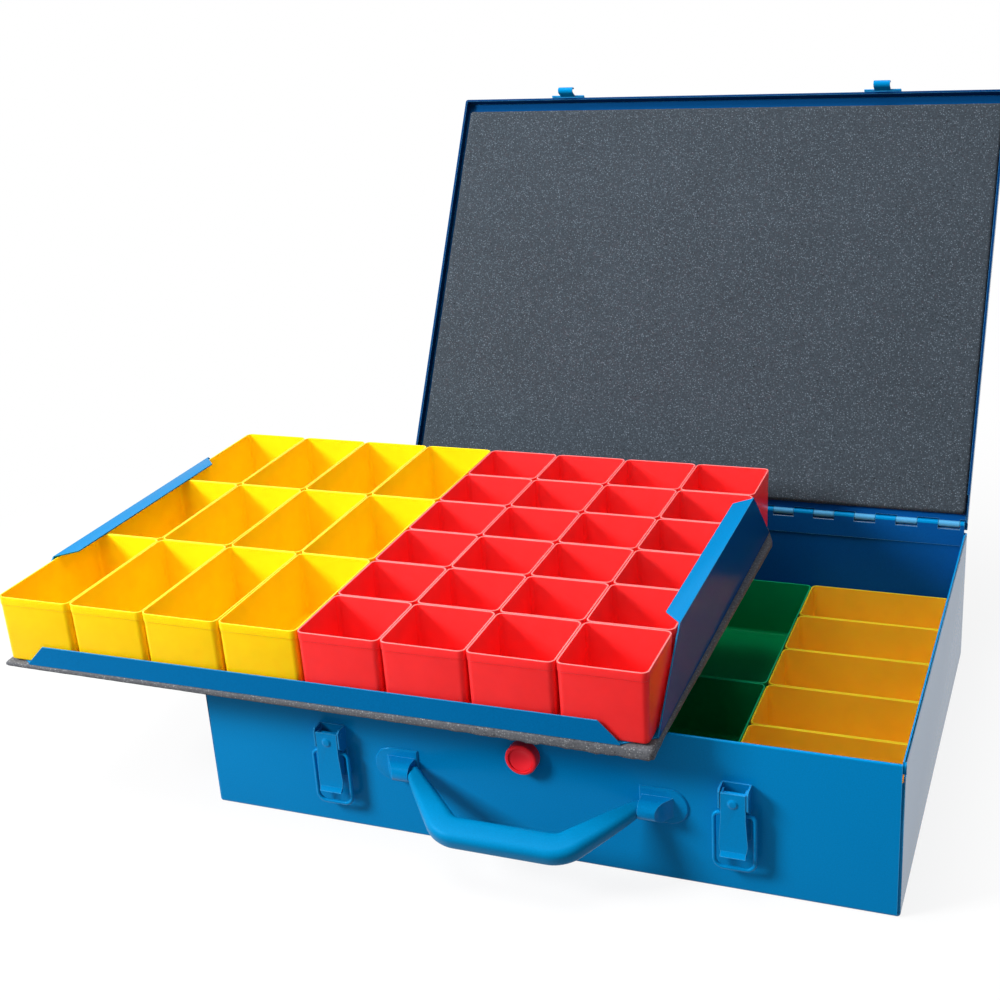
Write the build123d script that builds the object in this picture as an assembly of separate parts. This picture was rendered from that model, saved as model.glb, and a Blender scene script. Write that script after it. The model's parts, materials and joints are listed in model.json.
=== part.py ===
from build123d import *
import os
from math import cos, radians, sin, sqrt

# A folded steel assortment case with a hinged lid, two draw latches, a carrying handle, a
# lift-out tray of insert boxes and a second layer of insert boxes below.
# Millimetres. Origin: centre of the case's underside. X right, Y to the hinge side, Z up.
# Every piece is built in its home frame (case, closed lid or tray) and then put in the rest pose:
# lid open on its stop, tray parked across the front and left rims.

# ---- case body ----
CASE_L, CASE_D, CASE_H = 440.0, 330.0, 98.0   # outside length, outside depth, rim height
SHEET = 1.0                  # steel sheet
BEND_R = 2.0                 # outside radius of a fold
HEM_T, HEM_H = 2.2, 8.0      # folded-over rim: thickness and height
HEM_ROUND = 1.0
SEAM_W = 4.0                 # bare corner strip beside the front panel
TAB_W = 22.0                 # side wall's welded tab behind the front panel
TAB_DROP, TAB_SLANT = 3.0, 11.0   # corner notch: where it starts below the hem, and its slope
TAB_FOOT = 2.0               # above the floor's fold

# ---- piano hinge ----
PIN_R = 1.2
PIN_CLEAR = 0.05             # running clearance, on the radius
KNUCKLE_R = 2.3
LEAF_T = 1.0
HINGE_RISE = 6.0             # pin axis above the case rim
KNUCKLE_PITCH = 15.0
KNUCKLE_GAP = 0.4
HINGE_HALF = 218.0           # half the length of the hinge strip
END_KNUCKLE = 3.4            # the strip is cut off inside a knuckle, which leaves this much of it
CASE_LEAF_DROP = 10.0        # case leaf below the rim
LID_LEAF_W = 16.0            # lid leaf forward of the pin axis
NOTCH = 1.3                  # room between a knuckle and the other leaf

# ---- lid ----
LID_OPEN = 121.3             # degrees from closed
LID_GAP = 0.3                # lid rim over case rim
LID_HEM_T, LID_HEM_H = 0.8, 5.0
SKIRT_BACK = 0.8             # side skirts end this far in front of the pin axis
LIP_CLEAR = 0.3              # back lip round the knuckles
LIP_ABOVE_PIN = 1.0          # lower edge of the back lip above the pin axis
FOAM_T = 7.8                 # pad in the lid, pushed to the right hem
FOAM_LEFT, FOAM_FRONT, FOAM_BACK = 8.0, 10.3, 5.0    # bare strips: left, front, from the pin axis
FOAM_CLEAR = 0.4             # to the right hem and round the hinge leaf

# ---- insert boxes ----
CELL = 54.0                  # grid pitch
BOX_H = 45.0
BOX_WALL, BOX_FLOOR = 1.1, 1.2
BOX_GAP = 0.4                # between neighbours at the rim
BOX_DRAFT = 1.0              # each wall leans in by this over its height
BOX_R = 4.5                  # outside corner radius at the rim
BOX_CORNER_FLATS = 3         # flats in each corner
GRID_COLS, GRID_ROWS = 8, 6
LOWER_CLEAR = 1.5            # from the lower layer to the right and back walls, which it has slid to

# ---- tray ----
TRAY_LEFT, TRAY_FORWARD = 130.8, 32.0     # where it is parked, from the middle of the case
TRAY_TURN = 0.5              # its turn there, in degrees
SEAT_GAP = 0.3
MAT_T = 5.2
MAT_LEFT, MAT_FRONT = 1.5, 0.6        # mat beyond the pan
MAT_RIGHT_FRONT, MAT_RIGHT_BACK = 0.6, 5.5       # the same at its askew right edge
MAT_SHORT = 1.0              # mat short of the pan at the back
MAT_CUT_X, MAT_CUT_Y = 9.0, 26.0      # angled cut at the mat's back right corner
TRAY_ROOM = 0.5              # round the boxes
TRAY_FLANGE_H = 13.0         # front and back flanges above the pan floor
TRAY_FLANGE_FOOT, TRAY_FLANGE_TOP = 199.0, 186.0     # half lengths
END_FOOT, END_TOP = 151.0, 100.0      # half lengths of the end plates
LIP_W, LIP_CHAMFER = 12.0, 13.0       # lips over the end boxes
LIP_LIFT = 0.3               # lip above the box rims

# ---- draw latches ----
LATCH_X = 128.0
LATCH_DROP = 25.5            # top of the base plate below the case rim
LATCH_BASE_W, LATCH_BASE_H, LATCH_BASE_T = 17.4, 36.5, 1.0
LATCH_BASE_R = 1.5
EAR_T, EAR_D, EAR_H = 1.0, 10.0, 16.0
EAR_FOOT_D, EAR_SLOPE, EAR_EDGE = 5.5, 4.0, 1.5
LEVER_PIVOT_OUT, LEVER_PIVOT_DROP = 6.0, 4.5   # pivot in front of the case front, below the base's top
LEVER_PIN_R, LEVER_PIN_HEAD = 1.5, 0.2
LEVER_T = 1.0
LEVER_DROP, LEVER_H = 2.0, 39.5       # lever's top below the base's top, and its length
LEVER_FRONT_OUT = 10.0       # lever face in front of the case front
LEVER_W_TOP, LEVER_W_FOOT = 14.4, 16.8
LEVER_FLARE = 2.0            # the face widens this far below the ears
LEVER_SIDE_D, LEVER_SIDE_UP, LEVER_SIDE_SLOPE = 6.5, 6.0, 6.0   # sides: depth, foot, slope above it
LEVER_FOOT_TAPER = 1.0
LEVER_CURL, LEVER_LIP = 2.2, 1.5      # finger lip at the lever's foot: reach and thickness
LEVER_LIP_DROP, LEVER_LIP_SLOPE = 1.2, 0.6
DIMPLE_R, DIMPLE_TOP_R, DIMPLE_OUT, DIMPLE_DROP = 3.2, 2.0, 0.8, 4.0
WIRE_R = 1.25
BAIL_PIVOT_OUT, BAIL_PIVOT_DROP = 6.5, 12.5    # below the lever's pivot
BAIL_LONG, BAIL_HALF, BAIL_CORNER = 36.0, 11.9, 5.5
BAIL_FOOT_IN = 6.7           # how far in from the legs the bent ends reach
WIRE_TURN = 3.4              # bend radius at those ends

# ---- keepers ----
KEEPER_W, KEEPER_T = 28.0, 1.0
KEEPER_LAP = 1.2             # plate below the lid rim
KEEPER_TOP = 7.0             # plate above the lid rim
TONGUE_W = 12.5
TONGUE_OUT = 0.6             # tongue stands off the case front
CUP_CLEAR = 0.35             # round the wire
CUP_TIP = 1.6                # tip above the wire's centre

# ---- handle ----
HANDLE_OUT, HANDLE_Z = 7.0, 50.0      # pivot axis in front of the case front, and its height
HANDLE_DROP = 20.0           # degrees below level at rest
GRIP_REACH = 36.0            # pivot axis to the middle of the grip
GRIP_HALF = 33.0             # half the straight grip
GRIP_W, GRIP_T, GRIP_CORNER = 18.0, 13.0, 5.46
GRIP_BEND_R = 12.0
GRIP_BEND = 44.0             # degrees between grip and arm
ARM_W, ARM_T, ARM_CORNER = 9.0, 8.0, 3.6
STUB_R = 4.0
STUB_START, STUB_END = 71.5, 81.5
BRACKET_START, BRACKET_NOSE, BRACKET_END = 72.5, 82.5, 91.0
BRACKET_R = 6.2
BRACKET_BORE_PAST = 0.5      # bore beyond the stub's end
PLATE_START, PLATE_END, PLATE_R, PLATE_T, PLATE_EDGE = 70.5, 100.0, 11.5, 1.2, 0.72

# ---- push button ----
BUTTON_Z = 70.0
BEZEL_R, BEZEL_WALL, BEZEL_H, BEZEL_WEB = 10.0, 2.2, 7.0, 1.4
BEZEL_EDGE = 0.7
BUTTON_GAP = 0.15
BUTTON_T, BUTTON_SUNK, BUTTON_DISH, BUTTON_RIM = 2.4, 0.9, 1.0, 1.07
SPIGOT_R = 4.0
STEM_R = 1.8
STEM_PAST = 1.6              # stem beyond the inside of the wall
CLIP_R, CLIP_T, CLIP_GAP = 4.8, 0.7, 0.1
SPRING_R, SPRING_WIRE, SPRING_CLEAR = 5.6, 0.6, 0.15
SPRING_TURNS = 2.0

CUT = 1.0                    # how far a cut runs past what it cuts

# ---- derived ----
FRONT_Y = -CASE_D / 2
HINGE_Y = CASE_D / 2 - SHEET - LEAF_T + KNUCKLE_R
HINGE_Z = CASE_H + HINGE_RISE
PANEL_Z = HINGE_Z + KNUCKLE_R           # underside of the lid panel, closed
LID_TOP = PANEL_Z + SHEET
LID_RIM = CASE_H + LID_GAP
PAN_HALF_X = GRID_COLS * CELL / 2 + TRAY_ROOM
PAN_HALF_Y = GRID_ROWS * CELL / 2 + TRAY_ROOM
LOWER_X = CASE_L / 2 - SHEET - LOWER_CLEAR - GRID_COLS * CELL / 2
LOWER_Y = CASE_D / 2 - SHEET - LOWER_CLEAR - GRID_ROWS * CELL / 2
TRAY_Z = CASE_H + SEAT_GAP + MAT_T + SHEET + BOX_H   # plane of the tray's box rims, parked
LATCH_TOP = CASE_H - LATCH_DROP
LATCH_FOOT = LATCH_TOP - LATCH_BASE_H
LEVER_PIVOT_Z = LATCH_TOP - LEVER_PIVOT_DROP
LEVER_TOP = LATCH_TOP - LEVER_DROP
LEVER_FOOT = LEVER_TOP - LEVER_H
BAIL_PIVOT_Z = LEVER_PIVOT_Z - BAIL_PIVOT_DROP
WIRE_OUT = TONGUE_OUT + KEEPER_T + CUP_CLEAR + WIRE_R   # latched wire in front of the case front
WIRE_Z = BAIL_PIVOT_Z + sqrt(BAIL_LONG ** 2 - (BAIL_PIVOT_OUT - WIRE_OUT) ** 2)

NODES = {}


def block(x0, x1, y0, y1, z0, z1):
    """Box between two corners."""
    return Pos((x0 + x1) / 2, (y0 + y1) / 2, (z0 + z1) / 2) * Box(x1 - x0, y1 - y0, z1 - z0)


def rod_x(radius, x0, x1, y, z):
    """Cylinder along X."""
    return Pos((x0 + x1) / 2, y, z) * Rot(Y=90) * Cylinder(radius, x1 - x0)


def rod_y(radius, y0, y1, x, z):
    """Cylinder along Y."""
    return Pos(x, (y0 + y1) / 2, z) * Rot(X=90) * Cylinder(radius, y1 - y0)


def plate_xz(points, y0, y1):
    """Plate between two Y planes with an outline given as (x, z)."""
    face = Plane.XZ.offset(-y0) * make_face(Polyline(*points, close=True))
    return extrude(face, -(y1 - y0))


def bar_yz(points, x0, x1):
    """Bar between two X planes with a section given as (y, z)."""
    face = Plane.YZ.offset(x0) * make_face(Polyline(*points, close=True))
    return extrude(face, x1 - x0)


def bent_wire(points, radii):
    """Round wire in the XZ plane: straight runs joined by tangent bends."""
    corners = [Vector(x, 0, z) for x, z in points]
    start, wire = corners[0], None
    for i, corner in enumerate(corners[1:], 1):
        into = (corner - corners[i - 1]).normalized()
        last = i == len(corners) - 1
        stop = corner if last else corner - into * radii[i - 1]
        section = Plane(origin=start, z_dir=into) * Circle(WIRE_R)
        run = extrude(section, (stop - start).length)
        wire = wire + run if wire else run
        if last:
            break
        out = (corners[i + 1] - corner).normalized()
        centre = stop + out * radii[i - 1]
        bend = revolve(Plane(origin=stop, z_dir=into) * Circle(WIRE_R), Axis(centre, into.cross(out)),
                       into.get_angle(out))
        wire += bend
        start = corner + out * radii[i - 1]
    return wire


def mirrored(shape):
    return mirror(shape, Plane.YZ)


def add(name, shape, place=None):
    NODES[name] = place * shape if place else shape


# ---- places ----
OPEN_LID = Pos(0, HINGE_Y, HINGE_Z) * Rot(X=-LID_OPEN) * Pos(0, -HINGE_Y, -HINGE_Z)
PARKED = Pos(-TRAY_LEFT, -TRAY_FORWARD, TRAY_Z) * Rot(Z=TRAY_TURN)


# ---- case ----
def rim_bar(length):
    """Folded hem along X, its outside face on y = 0, its round top on z = 0."""
    section = Plane.YZ.offset(-length / 2) * Pos(HEM_T / 2, -HEM_H / 2) * Rectangle(HEM_T, HEM_H)
    bar = extrude(section, length)
    return fillet(bar.edges().filter_by(Axis.X).group_by(Axis.Z)[-1], HEM_ROUND)


def case_body():
    half_l, half_d = CASE_L / 2, CASE_D / 2
    outer = block(-half_l, half_l, -half_d, half_d, 0, CASE_H)
    outer = fillet(outer.edges().filter_by(Axis.Z) + outer.edges().group_by(Axis.Z)[0], BEND_R)
    inner = block(-half_l + SHEET, half_l - SHEET, -half_d + SHEET, half_d - SHEET,
                  SHEET, CASE_H + HEM_H)
    inner = fillet(inner.edges().filter_by(Axis.Z) + inner.edges().group_by(Axis.Z)[0],
                   BEND_R - SHEET)
    body = outer - inner
    wall_top = CASE_H - HEM_H
    body -= block(-half_l - CUT, half_l + CUT, -half_d - CUT, half_d - BEND_R - HEM_T, wall_top,
                  CASE_H + CUT)
    side = Pos(half_l, 0, CASE_H) * Rot(Z=90) * rim_bar(CASE_D - 2 * BEND_R - 2 * HEM_T)
    front = Pos(0, -half_d, CASE_H) * rim_bar(CASE_L - 2 * SEAM_W)
    seam = block(half_l - SEAM_W, half_l + CUT, -half_d - CUT, -half_d + SHEET, TAB_FOOT, CASE_H + CUT)
    seam += block(half_l - SEAM_W, half_l - SHEET, -half_d, -half_d + 2 * SHEET, TAB_FOOT, CASE_H + CUT)
    body -= seam + mirrored(seam)
    body = body + front + side + mirrored(side)
    body -= rod_y(SPIGOT_R + PIN_CLEAR, -half_d - CUT, -half_d + SHEET + CUT, 0, BUTTON_Z)
    return body


def case_tab(side):
    """Tab of a side wall, folded in and spot welded behind the front panel."""
    root, wall_top = CASE_L / 2 - SHEET, CASE_H - HEM_H
    tab = plate_xz([(root, TAB_FOOT), (root, wall_top - TAB_DROP),
                    (root - SEAM_W, wall_top - TAB_DROP - TAB_SLANT / 2),
                    (CASE_L / 2 - TAB_W, wall_top - TAB_SLANT), (CASE_L / 2 - TAB_W, TAB_FOOT)],
                   FRONT_Y + SHEET, FRONT_Y + 2 * SHEET)
    return tab if side > 0 else mirrored(tab)


# ---- hinge ----
def knuckle_spans():
    """(start, end, belongs to the lid) from the right end of the strip to the left."""
    right, lid_side = HINGE_HALF - END_KNUCKLE, True
    spans = [(right, HINGE_HALF, False)]
    while right > -HINGE_HALF + 2 * KNUCKLE_GAP:
        left = max(right - KNUCKLE_PITCH, -HINGE_HALF)
        spans.append((left, right, lid_side))
        right, lid_side = left, not lid_side
    return spans


def hinge_leaf(for_lid, plate, notch_block):
    """Leaf with its knuckles: plate with a notch at each of the other leaf's knuckles."""
    leaf = plate
    bore = PIN_R + PIN_CLEAR
    for left, right, lid_side in knuckle_spans():
        if lid_side == for_lid:
            leaf += rod_x(KNUCKLE_R, left + KNUCKLE_GAP / 2, right - KNUCKLE_GAP / 2,
                          HINGE_Y, HINGE_Z)
        else:
            leaf -= notch_block(left - KNUCKLE_GAP / 2, right + KNUCKLE_GAP / 2)
    return leaf - rod_x(bore, -HINGE_HALF - CUT, HINGE_HALF + CUT, HINGE_Y, HINGE_Z)


def hinge_leaf_case():
    front = HINGE_Y - KNUCKLE_R
    plate = block(-HINGE_HALF, HINGE_HALF, front, front + LEAF_T, CASE_H - CASE_LEAF_DROP, HINGE_Z)

    def notch(x0, x1):
        return block(x0, x1, front - CUT, front + LEAF_T + CUT, HINGE_Z - KNUCKLE_R - NOTCH, HINGE_Z + CUT)

    return hinge_leaf(False, plate, notch)


def hinge_leaf_lid():
    top = PANEL_Z
    plate = block(-HINGE_HALF, HINGE_HALF, HINGE_Y - LID_LEAF_W, HINGE_Y, top - LEAF_T, top)

    def notch(x0, x1):
        return block(x0, x1, HINGE_Y - KNUCKLE_R - NOTCH, HINGE_Y + CUT, top - LEAF_T - CUT, top + CUT)

    return hinge_leaf(True, plate, notch)


def hinge_pin():
    return rod_x(PIN_R, -HINGE_HALF, HINGE_HALF, HINGE_Y, HINGE_Z)


# ---- lid, closed ----
def lid_pan():
    half_l = CASE_L / 2
    lip_in = HINGE_Y + KNUCKLE_R + LIP_CLEAR
    back = lip_in + SHEET
    outer = block(-half_l, half_l, FRONT_Y, back, LID_RIM, LID_TOP)
    front_corners = outer.edges().filter_by(Axis.Z).group_by(Axis.Y)[0]
    top_edges = outer.edges().group_by(Axis.Z)[-1]
    outer = fillet(front_corners + top_edges, BEND_R)
    inner = block(-half_l + SHEET, half_l - SHEET, FRONT_Y + SHEET, lip_in, LID_RIM - CUT, PANEL_Z)
    pan = outer - inner
    pan -= block(-half_l - CUT, half_l + CUT, HINGE_Y - SKIRT_BACK, back + CUT,
                 LID_RIM - CUT, HINGE_Z + LIP_ABOVE_PIN)
    hem_side = block(half_l - SHEET - LID_HEM_T, half_l - SHEET, FRONT_Y + SHEET,
                     HINGE_Y - LID_LEAF_W - LID_HEM_H, LID_RIM, LID_RIM + LID_HEM_H)
    hem_front = block(-half_l + SHEET, half_l - SHEET, FRONT_Y + SHEET, FRONT_Y + SHEET + LID_HEM_T,
                      LID_RIM, LID_RIM + LID_HEM_H)
    return pan + hem_side + mirrored(hem_side) + hem_front


def lid_foam_pad():
    """Pad with a shallow recess where it laps over the hinge leaf."""
    left, right = -CASE_L / 2 + FOAM_LEFT, CASE_L / 2 - SHEET - LID_HEM_T - FOAM_CLEAR
    pad = block(left, right, FRONT_Y + FOAM_FRONT, HINGE_Y - FOAM_BACK, PANEL_Z - FOAM_T, PANEL_Z)
    return pad - block(left - CUT, right + CUT, HINGE_Y - LID_LEAF_W - FOAM_CLEAR, HINGE_Y,
                       PANEL_Z - LEAF_T, PANEL_Z + CUT)


def lid_keeper(side):
    """Plate on the lid's front skirt with a tongue that hangs down and curls into a hook."""
    x = side * LATCH_X
    plate = block(x - KEEPER_W / 2, x + KEEPER_W / 2, FRONT_Y - KEEPER_T, FRONT_Y,
                  LID_RIM, LID_RIM + KEEPER_TOP)
    step = block(x - KEEPER_W / 2, x + KEEPER_W / 2, FRONT_Y - KEEPER_T - TONGUE_OUT,
                 FRONT_Y - TONGUE_OUT, LID_RIM - KEEPER_LAP, LID_RIM + KEEPER_T)
    inner_r = WIRE_R + CUP_CLEAR
    outer_r = inner_r + KEEPER_T
    cup_y = FRONT_Y - WIRE_OUT
    tongue = block(x - TONGUE_W / 2, x + TONGUE_W / 2, FRONT_Y - KEEPER_T - TONGUE_OUT,
                   FRONT_Y - TONGUE_OUT, WIRE_Z, LID_RIM)
    cup = rod_x(outer_r, x - TONGUE_W / 2, x + TONGUE_W / 2, cup_y, WIRE_Z)
    cup -= rod_x(inner_r, x - TONGUE_W / 2 - CUT, x + TONGUE_W / 2 + CUT, cup_y, WIRE_Z)
    cup -= block(x - TONGUE_W, x + TONGUE_W, cup_y - 2 * outer_r, cup_y + 2 * outer_r,
                 WIRE_Z, WIRE_Z + 2 * outer_r)
    tip = block(x - TONGUE_W / 2, x + TONGUE_W / 2, cup_y - outer_r, cup_y - inner_r,
                WIRE_Z, WIRE_Z + CUP_TIP)
    return plate + step + tongue + cup + tip


# ---- draw latches, closed ----
def latch_base(side):
    x = side * LATCH_X
    half = LATCH_BASE_W / 2
    base = block(x - half, x + half, FRONT_Y - LATCH_BASE_T, FRONT_Y, LATCH_FOOT, LATCH_TOP)
    base = fillet(base.edges().filter_by(Axis.Y), LATCH_BASE_R)
    ear_low = LATCH_TOP - EAR_H
    outline = [(FRONT_Y - LATCH_BASE_T / 2, ear_low), (FRONT_Y - EAR_FOOT_D, ear_low),
               (FRONT_Y - EAR_D, ear_low + EAR_SLOPE), (FRONT_Y - EAR_D, LATCH_TOP - EAR_EDGE),
               (FRONT_Y - EAR_D + EAR_EDGE, LATCH_TOP), (FRONT_Y - LATCH_BASE_T / 2, LATCH_TOP)]
    for x0 in (x - half, x + half - EAR_T):
        base += bar_yz(outline, x0, x0 + EAR_T)
    return base - rod_x(LEVER_PIN_R, x - half - CUT, x + half + CUT,
                        FRONT_Y - LEVER_PIVOT_OUT, LEVER_PIVOT_Z)


def latch_pin(side):
    x = side * LATCH_X
    half = LATCH_BASE_W / 2 + LEVER_PIN_HEAD
    return rod_x(LEVER_PIN_R, x - half, x + half, FRONT_Y - LEVER_PIVOT_OUT, LEVER_PIVOT_Z)


def latch_lever(side):
    """Channel-shaped lever: flared face, two side flanges, finger lip and a round dimple."""
    x = side * LATCH_X
    face_y = FRONT_Y - LEVER_FRONT_OUT
    top, foot = LEVER_W_TOP / 2, LEVER_W_FOOT / 2
    tip = foot - LEVER_FOOT_TAPER
    flare_z = LATCH_TOP - EAR_H - LEVER_FLARE
    side_foot = LEVER_FOOT + LEVER_SIDE_UP
    face = plate_xz([(x - top, LEVER_TOP), (x - top, flare_z), (x - foot, side_foot), (x - tip, LEVER_FOOT),
                     (x + tip, LEVER_FOOT), (x + foot, side_foot), (x + top, flare_z), (x + top, LEVER_TOP)],
                    face_y, face_y + LEVER_T)
    side_back = face_y + LEVER_SIDE_D
    outline = [(face_y, LEVER_TOP), (side_back, LEVER_TOP), (side_back, side_foot + LEVER_SIDE_SLOPE),
               (face_y + LEVER_T, side_foot), (face_y, side_foot)]
    lever = face
    for x0 in (x - top, x + top - LEVER_T):
        lever += bar_yz(outline, x0, x0 + LEVER_T)
    curl_z = LEVER_FOOT - LEVER_LIP_DROP
    lip = bar_yz([(face_y + LEVER_T, LEVER_FOOT), (face_y + LEVER_T, LEVER_FOOT + LEVER_LIP),
                  (face_y, LEVER_FOOT + LEVER_LIP), (face_y - LEVER_CURL, curl_z),
                  (face_y - LEVER_CURL + LEVER_T, curl_z - LEVER_LIP_SLOPE)], x - tip, x + tip)
    dimple = Pos(x, face_y - DIMPLE_OUT / 2, LEVER_PIVOT_Z - DIMPLE_DROP) * Rot(X=90) * Cone(
        DIMPLE_R, DIMPLE_TOP_R, DIMPLE_OUT)
    lever = lever + lip + dimple
    lever -= rod_x(LEVER_PIN_R + PIN_CLEAR, x - foot, x + foot, FRONT_Y - LEVER_PIVOT_OUT, LEVER_PIVOT_Z)
    return lever - rod_x(WIRE_R + PIN_CLEAR, x - foot, x + foot, FRONT_Y - BAIL_PIVOT_OUT, BAIL_PIVOT_Z)


def latch_bail(side):
    """Wire loop that hangs from the lever, its ends bent in through the lever's sides."""
    low = BAIL_PIVOT_Z - BAIL_LONG
    end = BAIL_HALF - BAIL_FOOT_IN
    half = [(end, BAIL_PIVOT_Z), (BAIL_HALF, BAIL_PIVOT_Z), (BAIL_HALF, low), (0, low)]
    loop = bent_wire(half, [WIRE_TURN, BAIL_CORNER])
    return Pos(side * LATCH_X, FRONT_Y - BAIL_PIVOT_OUT, 0) * (loop + mirrored(loop))


# ---- handle, level, then turned to its rest angle ----
def handle():
    plane = Plane(origin=(0, -GRIP_REACH, 0), x_dir=(0, 1, 0), z_dir=(1, 0, 0))
    outline = RectangleRounded(GRIP_W, GRIP_T, GRIP_CORNER)
    half = extrude(plane * outline, GRIP_HALF)
    bend_axis = Axis((GRIP_HALF, -GRIP_REACH + GRIP_BEND_R + GRIP_W / 2, 0), (0, 0, 1))
    end_face = Pos(GRIP_HALF, 0, 0) * (plane * outline)
    half += revolve(end_face, bend_axis, GRIP_BEND)
    after = end_face.rotate(bend_axis, GRIP_BEND)
    tip_plane = Plane(origin=(STUB_START, 0, 0), x_dir=(0, 1, 0), z_dir=(1, 0, 0))
    arm_end = tip_plane * RectangleRounded(ARM_W, ARM_T, ARM_CORNER)
    half += loft([after, arm_end], ruled=True)
    half += rod_x(STUB_R, STUB_START - CUT, STUB_END, 0, 0)
    whole = half + mirrored(half)
    return Pos(0, FRONT_Y - HANDLE_OUT, HANDLE_Z) * Rot(X=HANDLE_DROP) * whole


def handle_bracket(side):
    """Pressed D-shaped plate with a hollow nose that takes the handle's stub."""
    y = FRONT_Y - HANDLE_OUT
    centre = PLATE_END - PLATE_R
    plate = block(PLATE_START, centre, FRONT_Y - PLATE_T, FRONT_Y, HANDLE_Z - PLATE_R, HANDLE_Z + PLATE_R)
    plate += rod_y(PLATE_R, FRONT_Y - PLATE_T, FRONT_Y, centre, HANDLE_Z)
    plate = chamfer(plate.faces().sort_by(Axis.Y)[0].edges(), PLATE_EDGE)
    nose = rod_x(BRACKET_R, BRACKET_START, BRACKET_END, y, HANDLE_Z)
    nose += block(BRACKET_START, BRACKET_END, y, FRONT_Y - PLATE_T / 2,
                  HANDLE_Z - BRACKET_R, HANDLE_Z + BRACKET_R)
    low, high = HANDLE_Z - BRACKET_R - CUT, HANDLE_Z + BRACKET_R + CUT
    front = y - BRACKET_R - CUT
    plan = Plane.XY.offset(low) * make_face(Polyline(
        (BRACKET_START, FRONT_Y), (BRACKET_START, front), (BRACKET_NOSE, front),
        (BRACKET_END, FRONT_Y - PLATE_T), (BRACKET_END, FRONT_Y), close=True))
    nose &= extrude(plan, high - low)
    bracket = plate + nose
    bracket -= rod_x(STUB_R + PIN_CLEAR, PLATE_START - CUT, STUB_END + BRACKET_BORE_PAST, y, HANDLE_Z)
    return bracket if side > 0 else mirrored(bracket)


# ---- push button ----
def button_bezel():
    front = FRONT_Y - BEZEL_H
    ring = rod_y(BEZEL_R, front, FRONT_Y, 0, BUTTON_Z)
    ring = chamfer(ring.faces().sort_by(Axis.Y)[0].edges(), BEZEL_EDGE)
    ring -= rod_y(BEZEL_R - BEZEL_WALL, front - CUT, FRONT_Y - BEZEL_WEB, 0, BUTTON_Z)
    ring += rod_y(SPIGOT_R, FRONT_Y - BEZEL_WEB, FRONT_Y + SHEET, 0, BUTTON_Z)
    return ring - rod_y(STEM_R + PIN_CLEAR, front - CUT, FRONT_Y + SHEET + CUT, 0, BUTTON_Z)


def push_button():
    face = FRONT_Y - BEZEL_H + BUTTON_SUNK
    radius = BEZEL_R - BEZEL_WALL - BUTTON_GAP
    disc = rod_y(radius, face, face + BUTTON_T, 0, BUTTON_Z)
    rim = radius - BUTTON_RIM
    ball_r = (rim ** 2 + BUTTON_DISH ** 2) / (2 * BUTTON_DISH)
    disc -= Pos(0, face + BUTTON_DISH - ball_r, BUTTON_Z) * Sphere(ball_r)
    return disc + rod_y(STEM_R, face + BUTTON_T / 2, FRONT_Y + SHEET + STEM_PAST, 0, BUTTON_Z)


def button_clip():
    front = FRONT_Y + SHEET + CLIP_GAP
    clip = rod_y(CLIP_R, front, front + CLIP_T, 0, BUTTON_Z)
    return clip - rod_y(STEM_R, front - CUT, front + CLIP_T + CUT, 0, BUTTON_Z)


def button_spring():
    front = FRONT_Y - BEZEL_H + BUTTON_SUNK + BUTTON_T
    back = FRONT_Y - BEZEL_WEB
    length = back - front - SPRING_WIRE - 2 * SPRING_CLEAR
    path = Helix(pitch=length / SPRING_TURNS, height=length, radius=SPRING_R)
    start = path @ 0
    profile = Plane(origin=start, z_dir=path % 0) * Rectangle(SPRING_WIRE, SPRING_WIRE)
    coil = sweep(profile, path=path, is_frenet=True)
    return Pos(0, back - SPRING_WIRE / 2 - SPRING_CLEAR, BUTTON_Z) * Rot(X=90) * coil


# ---- insert boxes ----
def box_outline(width, depth, radius):
    """Rectangle whose corners turn in BOX_CORNER_FLATS flats that follow the radius."""
    points = []
    for quarter, (sx, sy) in enumerate([(1, 1), (-1, 1), (-1, -1), (1, -1)]):
        for step in range(BOX_CORNER_FLATS + 1):
            angle = radians(90 * (quarter + step / BOX_CORNER_FLATS))
            points.append((sx * (width / 2 - radius) + radius * cos(angle),
                           sy * (depth / 2 - radius) + radius * sin(angle)))
    return make_face(Polyline(*points, close=True))


def insert_box(cols, rows):
    """Tapered open box over cols by rows cells, its rim centred on the origin, its floor below."""
    width, depth = cols * CELL - BOX_GAP, rows * CELL - BOX_GAP

    def tapered(inset, height):
        lean = BOX_DRAFT * height / BOX_H
        top = box_outline(width - 2 * inset, depth - 2 * inset, BOX_R - inset)
        foot = box_outline(width - 2 * (inset + lean), depth - 2 * (inset + lean), BOX_R - inset - lean)
        return loft([top, Pos(0, 0, -height) * foot], ruled=True)

    return tapered(0, BOX_H) - tapered(BOX_WALL, BOX_H - BOX_FLOOR)


def box_at(box, col, row, cols, rows):
    """Box whose left front cell is (col, row) of the 8 by 6 grid centred on the origin."""
    x = (col + cols / 2 - GRID_COLS / 2) * CELL
    y = (row + rows / 2 - GRID_ROWS / 2) * CELL
    return Pos(x, y, 0) * box


def box_group(box, cells, cols, rows, place):
    return Compound([place * box_at(box, col, row, cols, rows) for col, row in cells])


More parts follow.
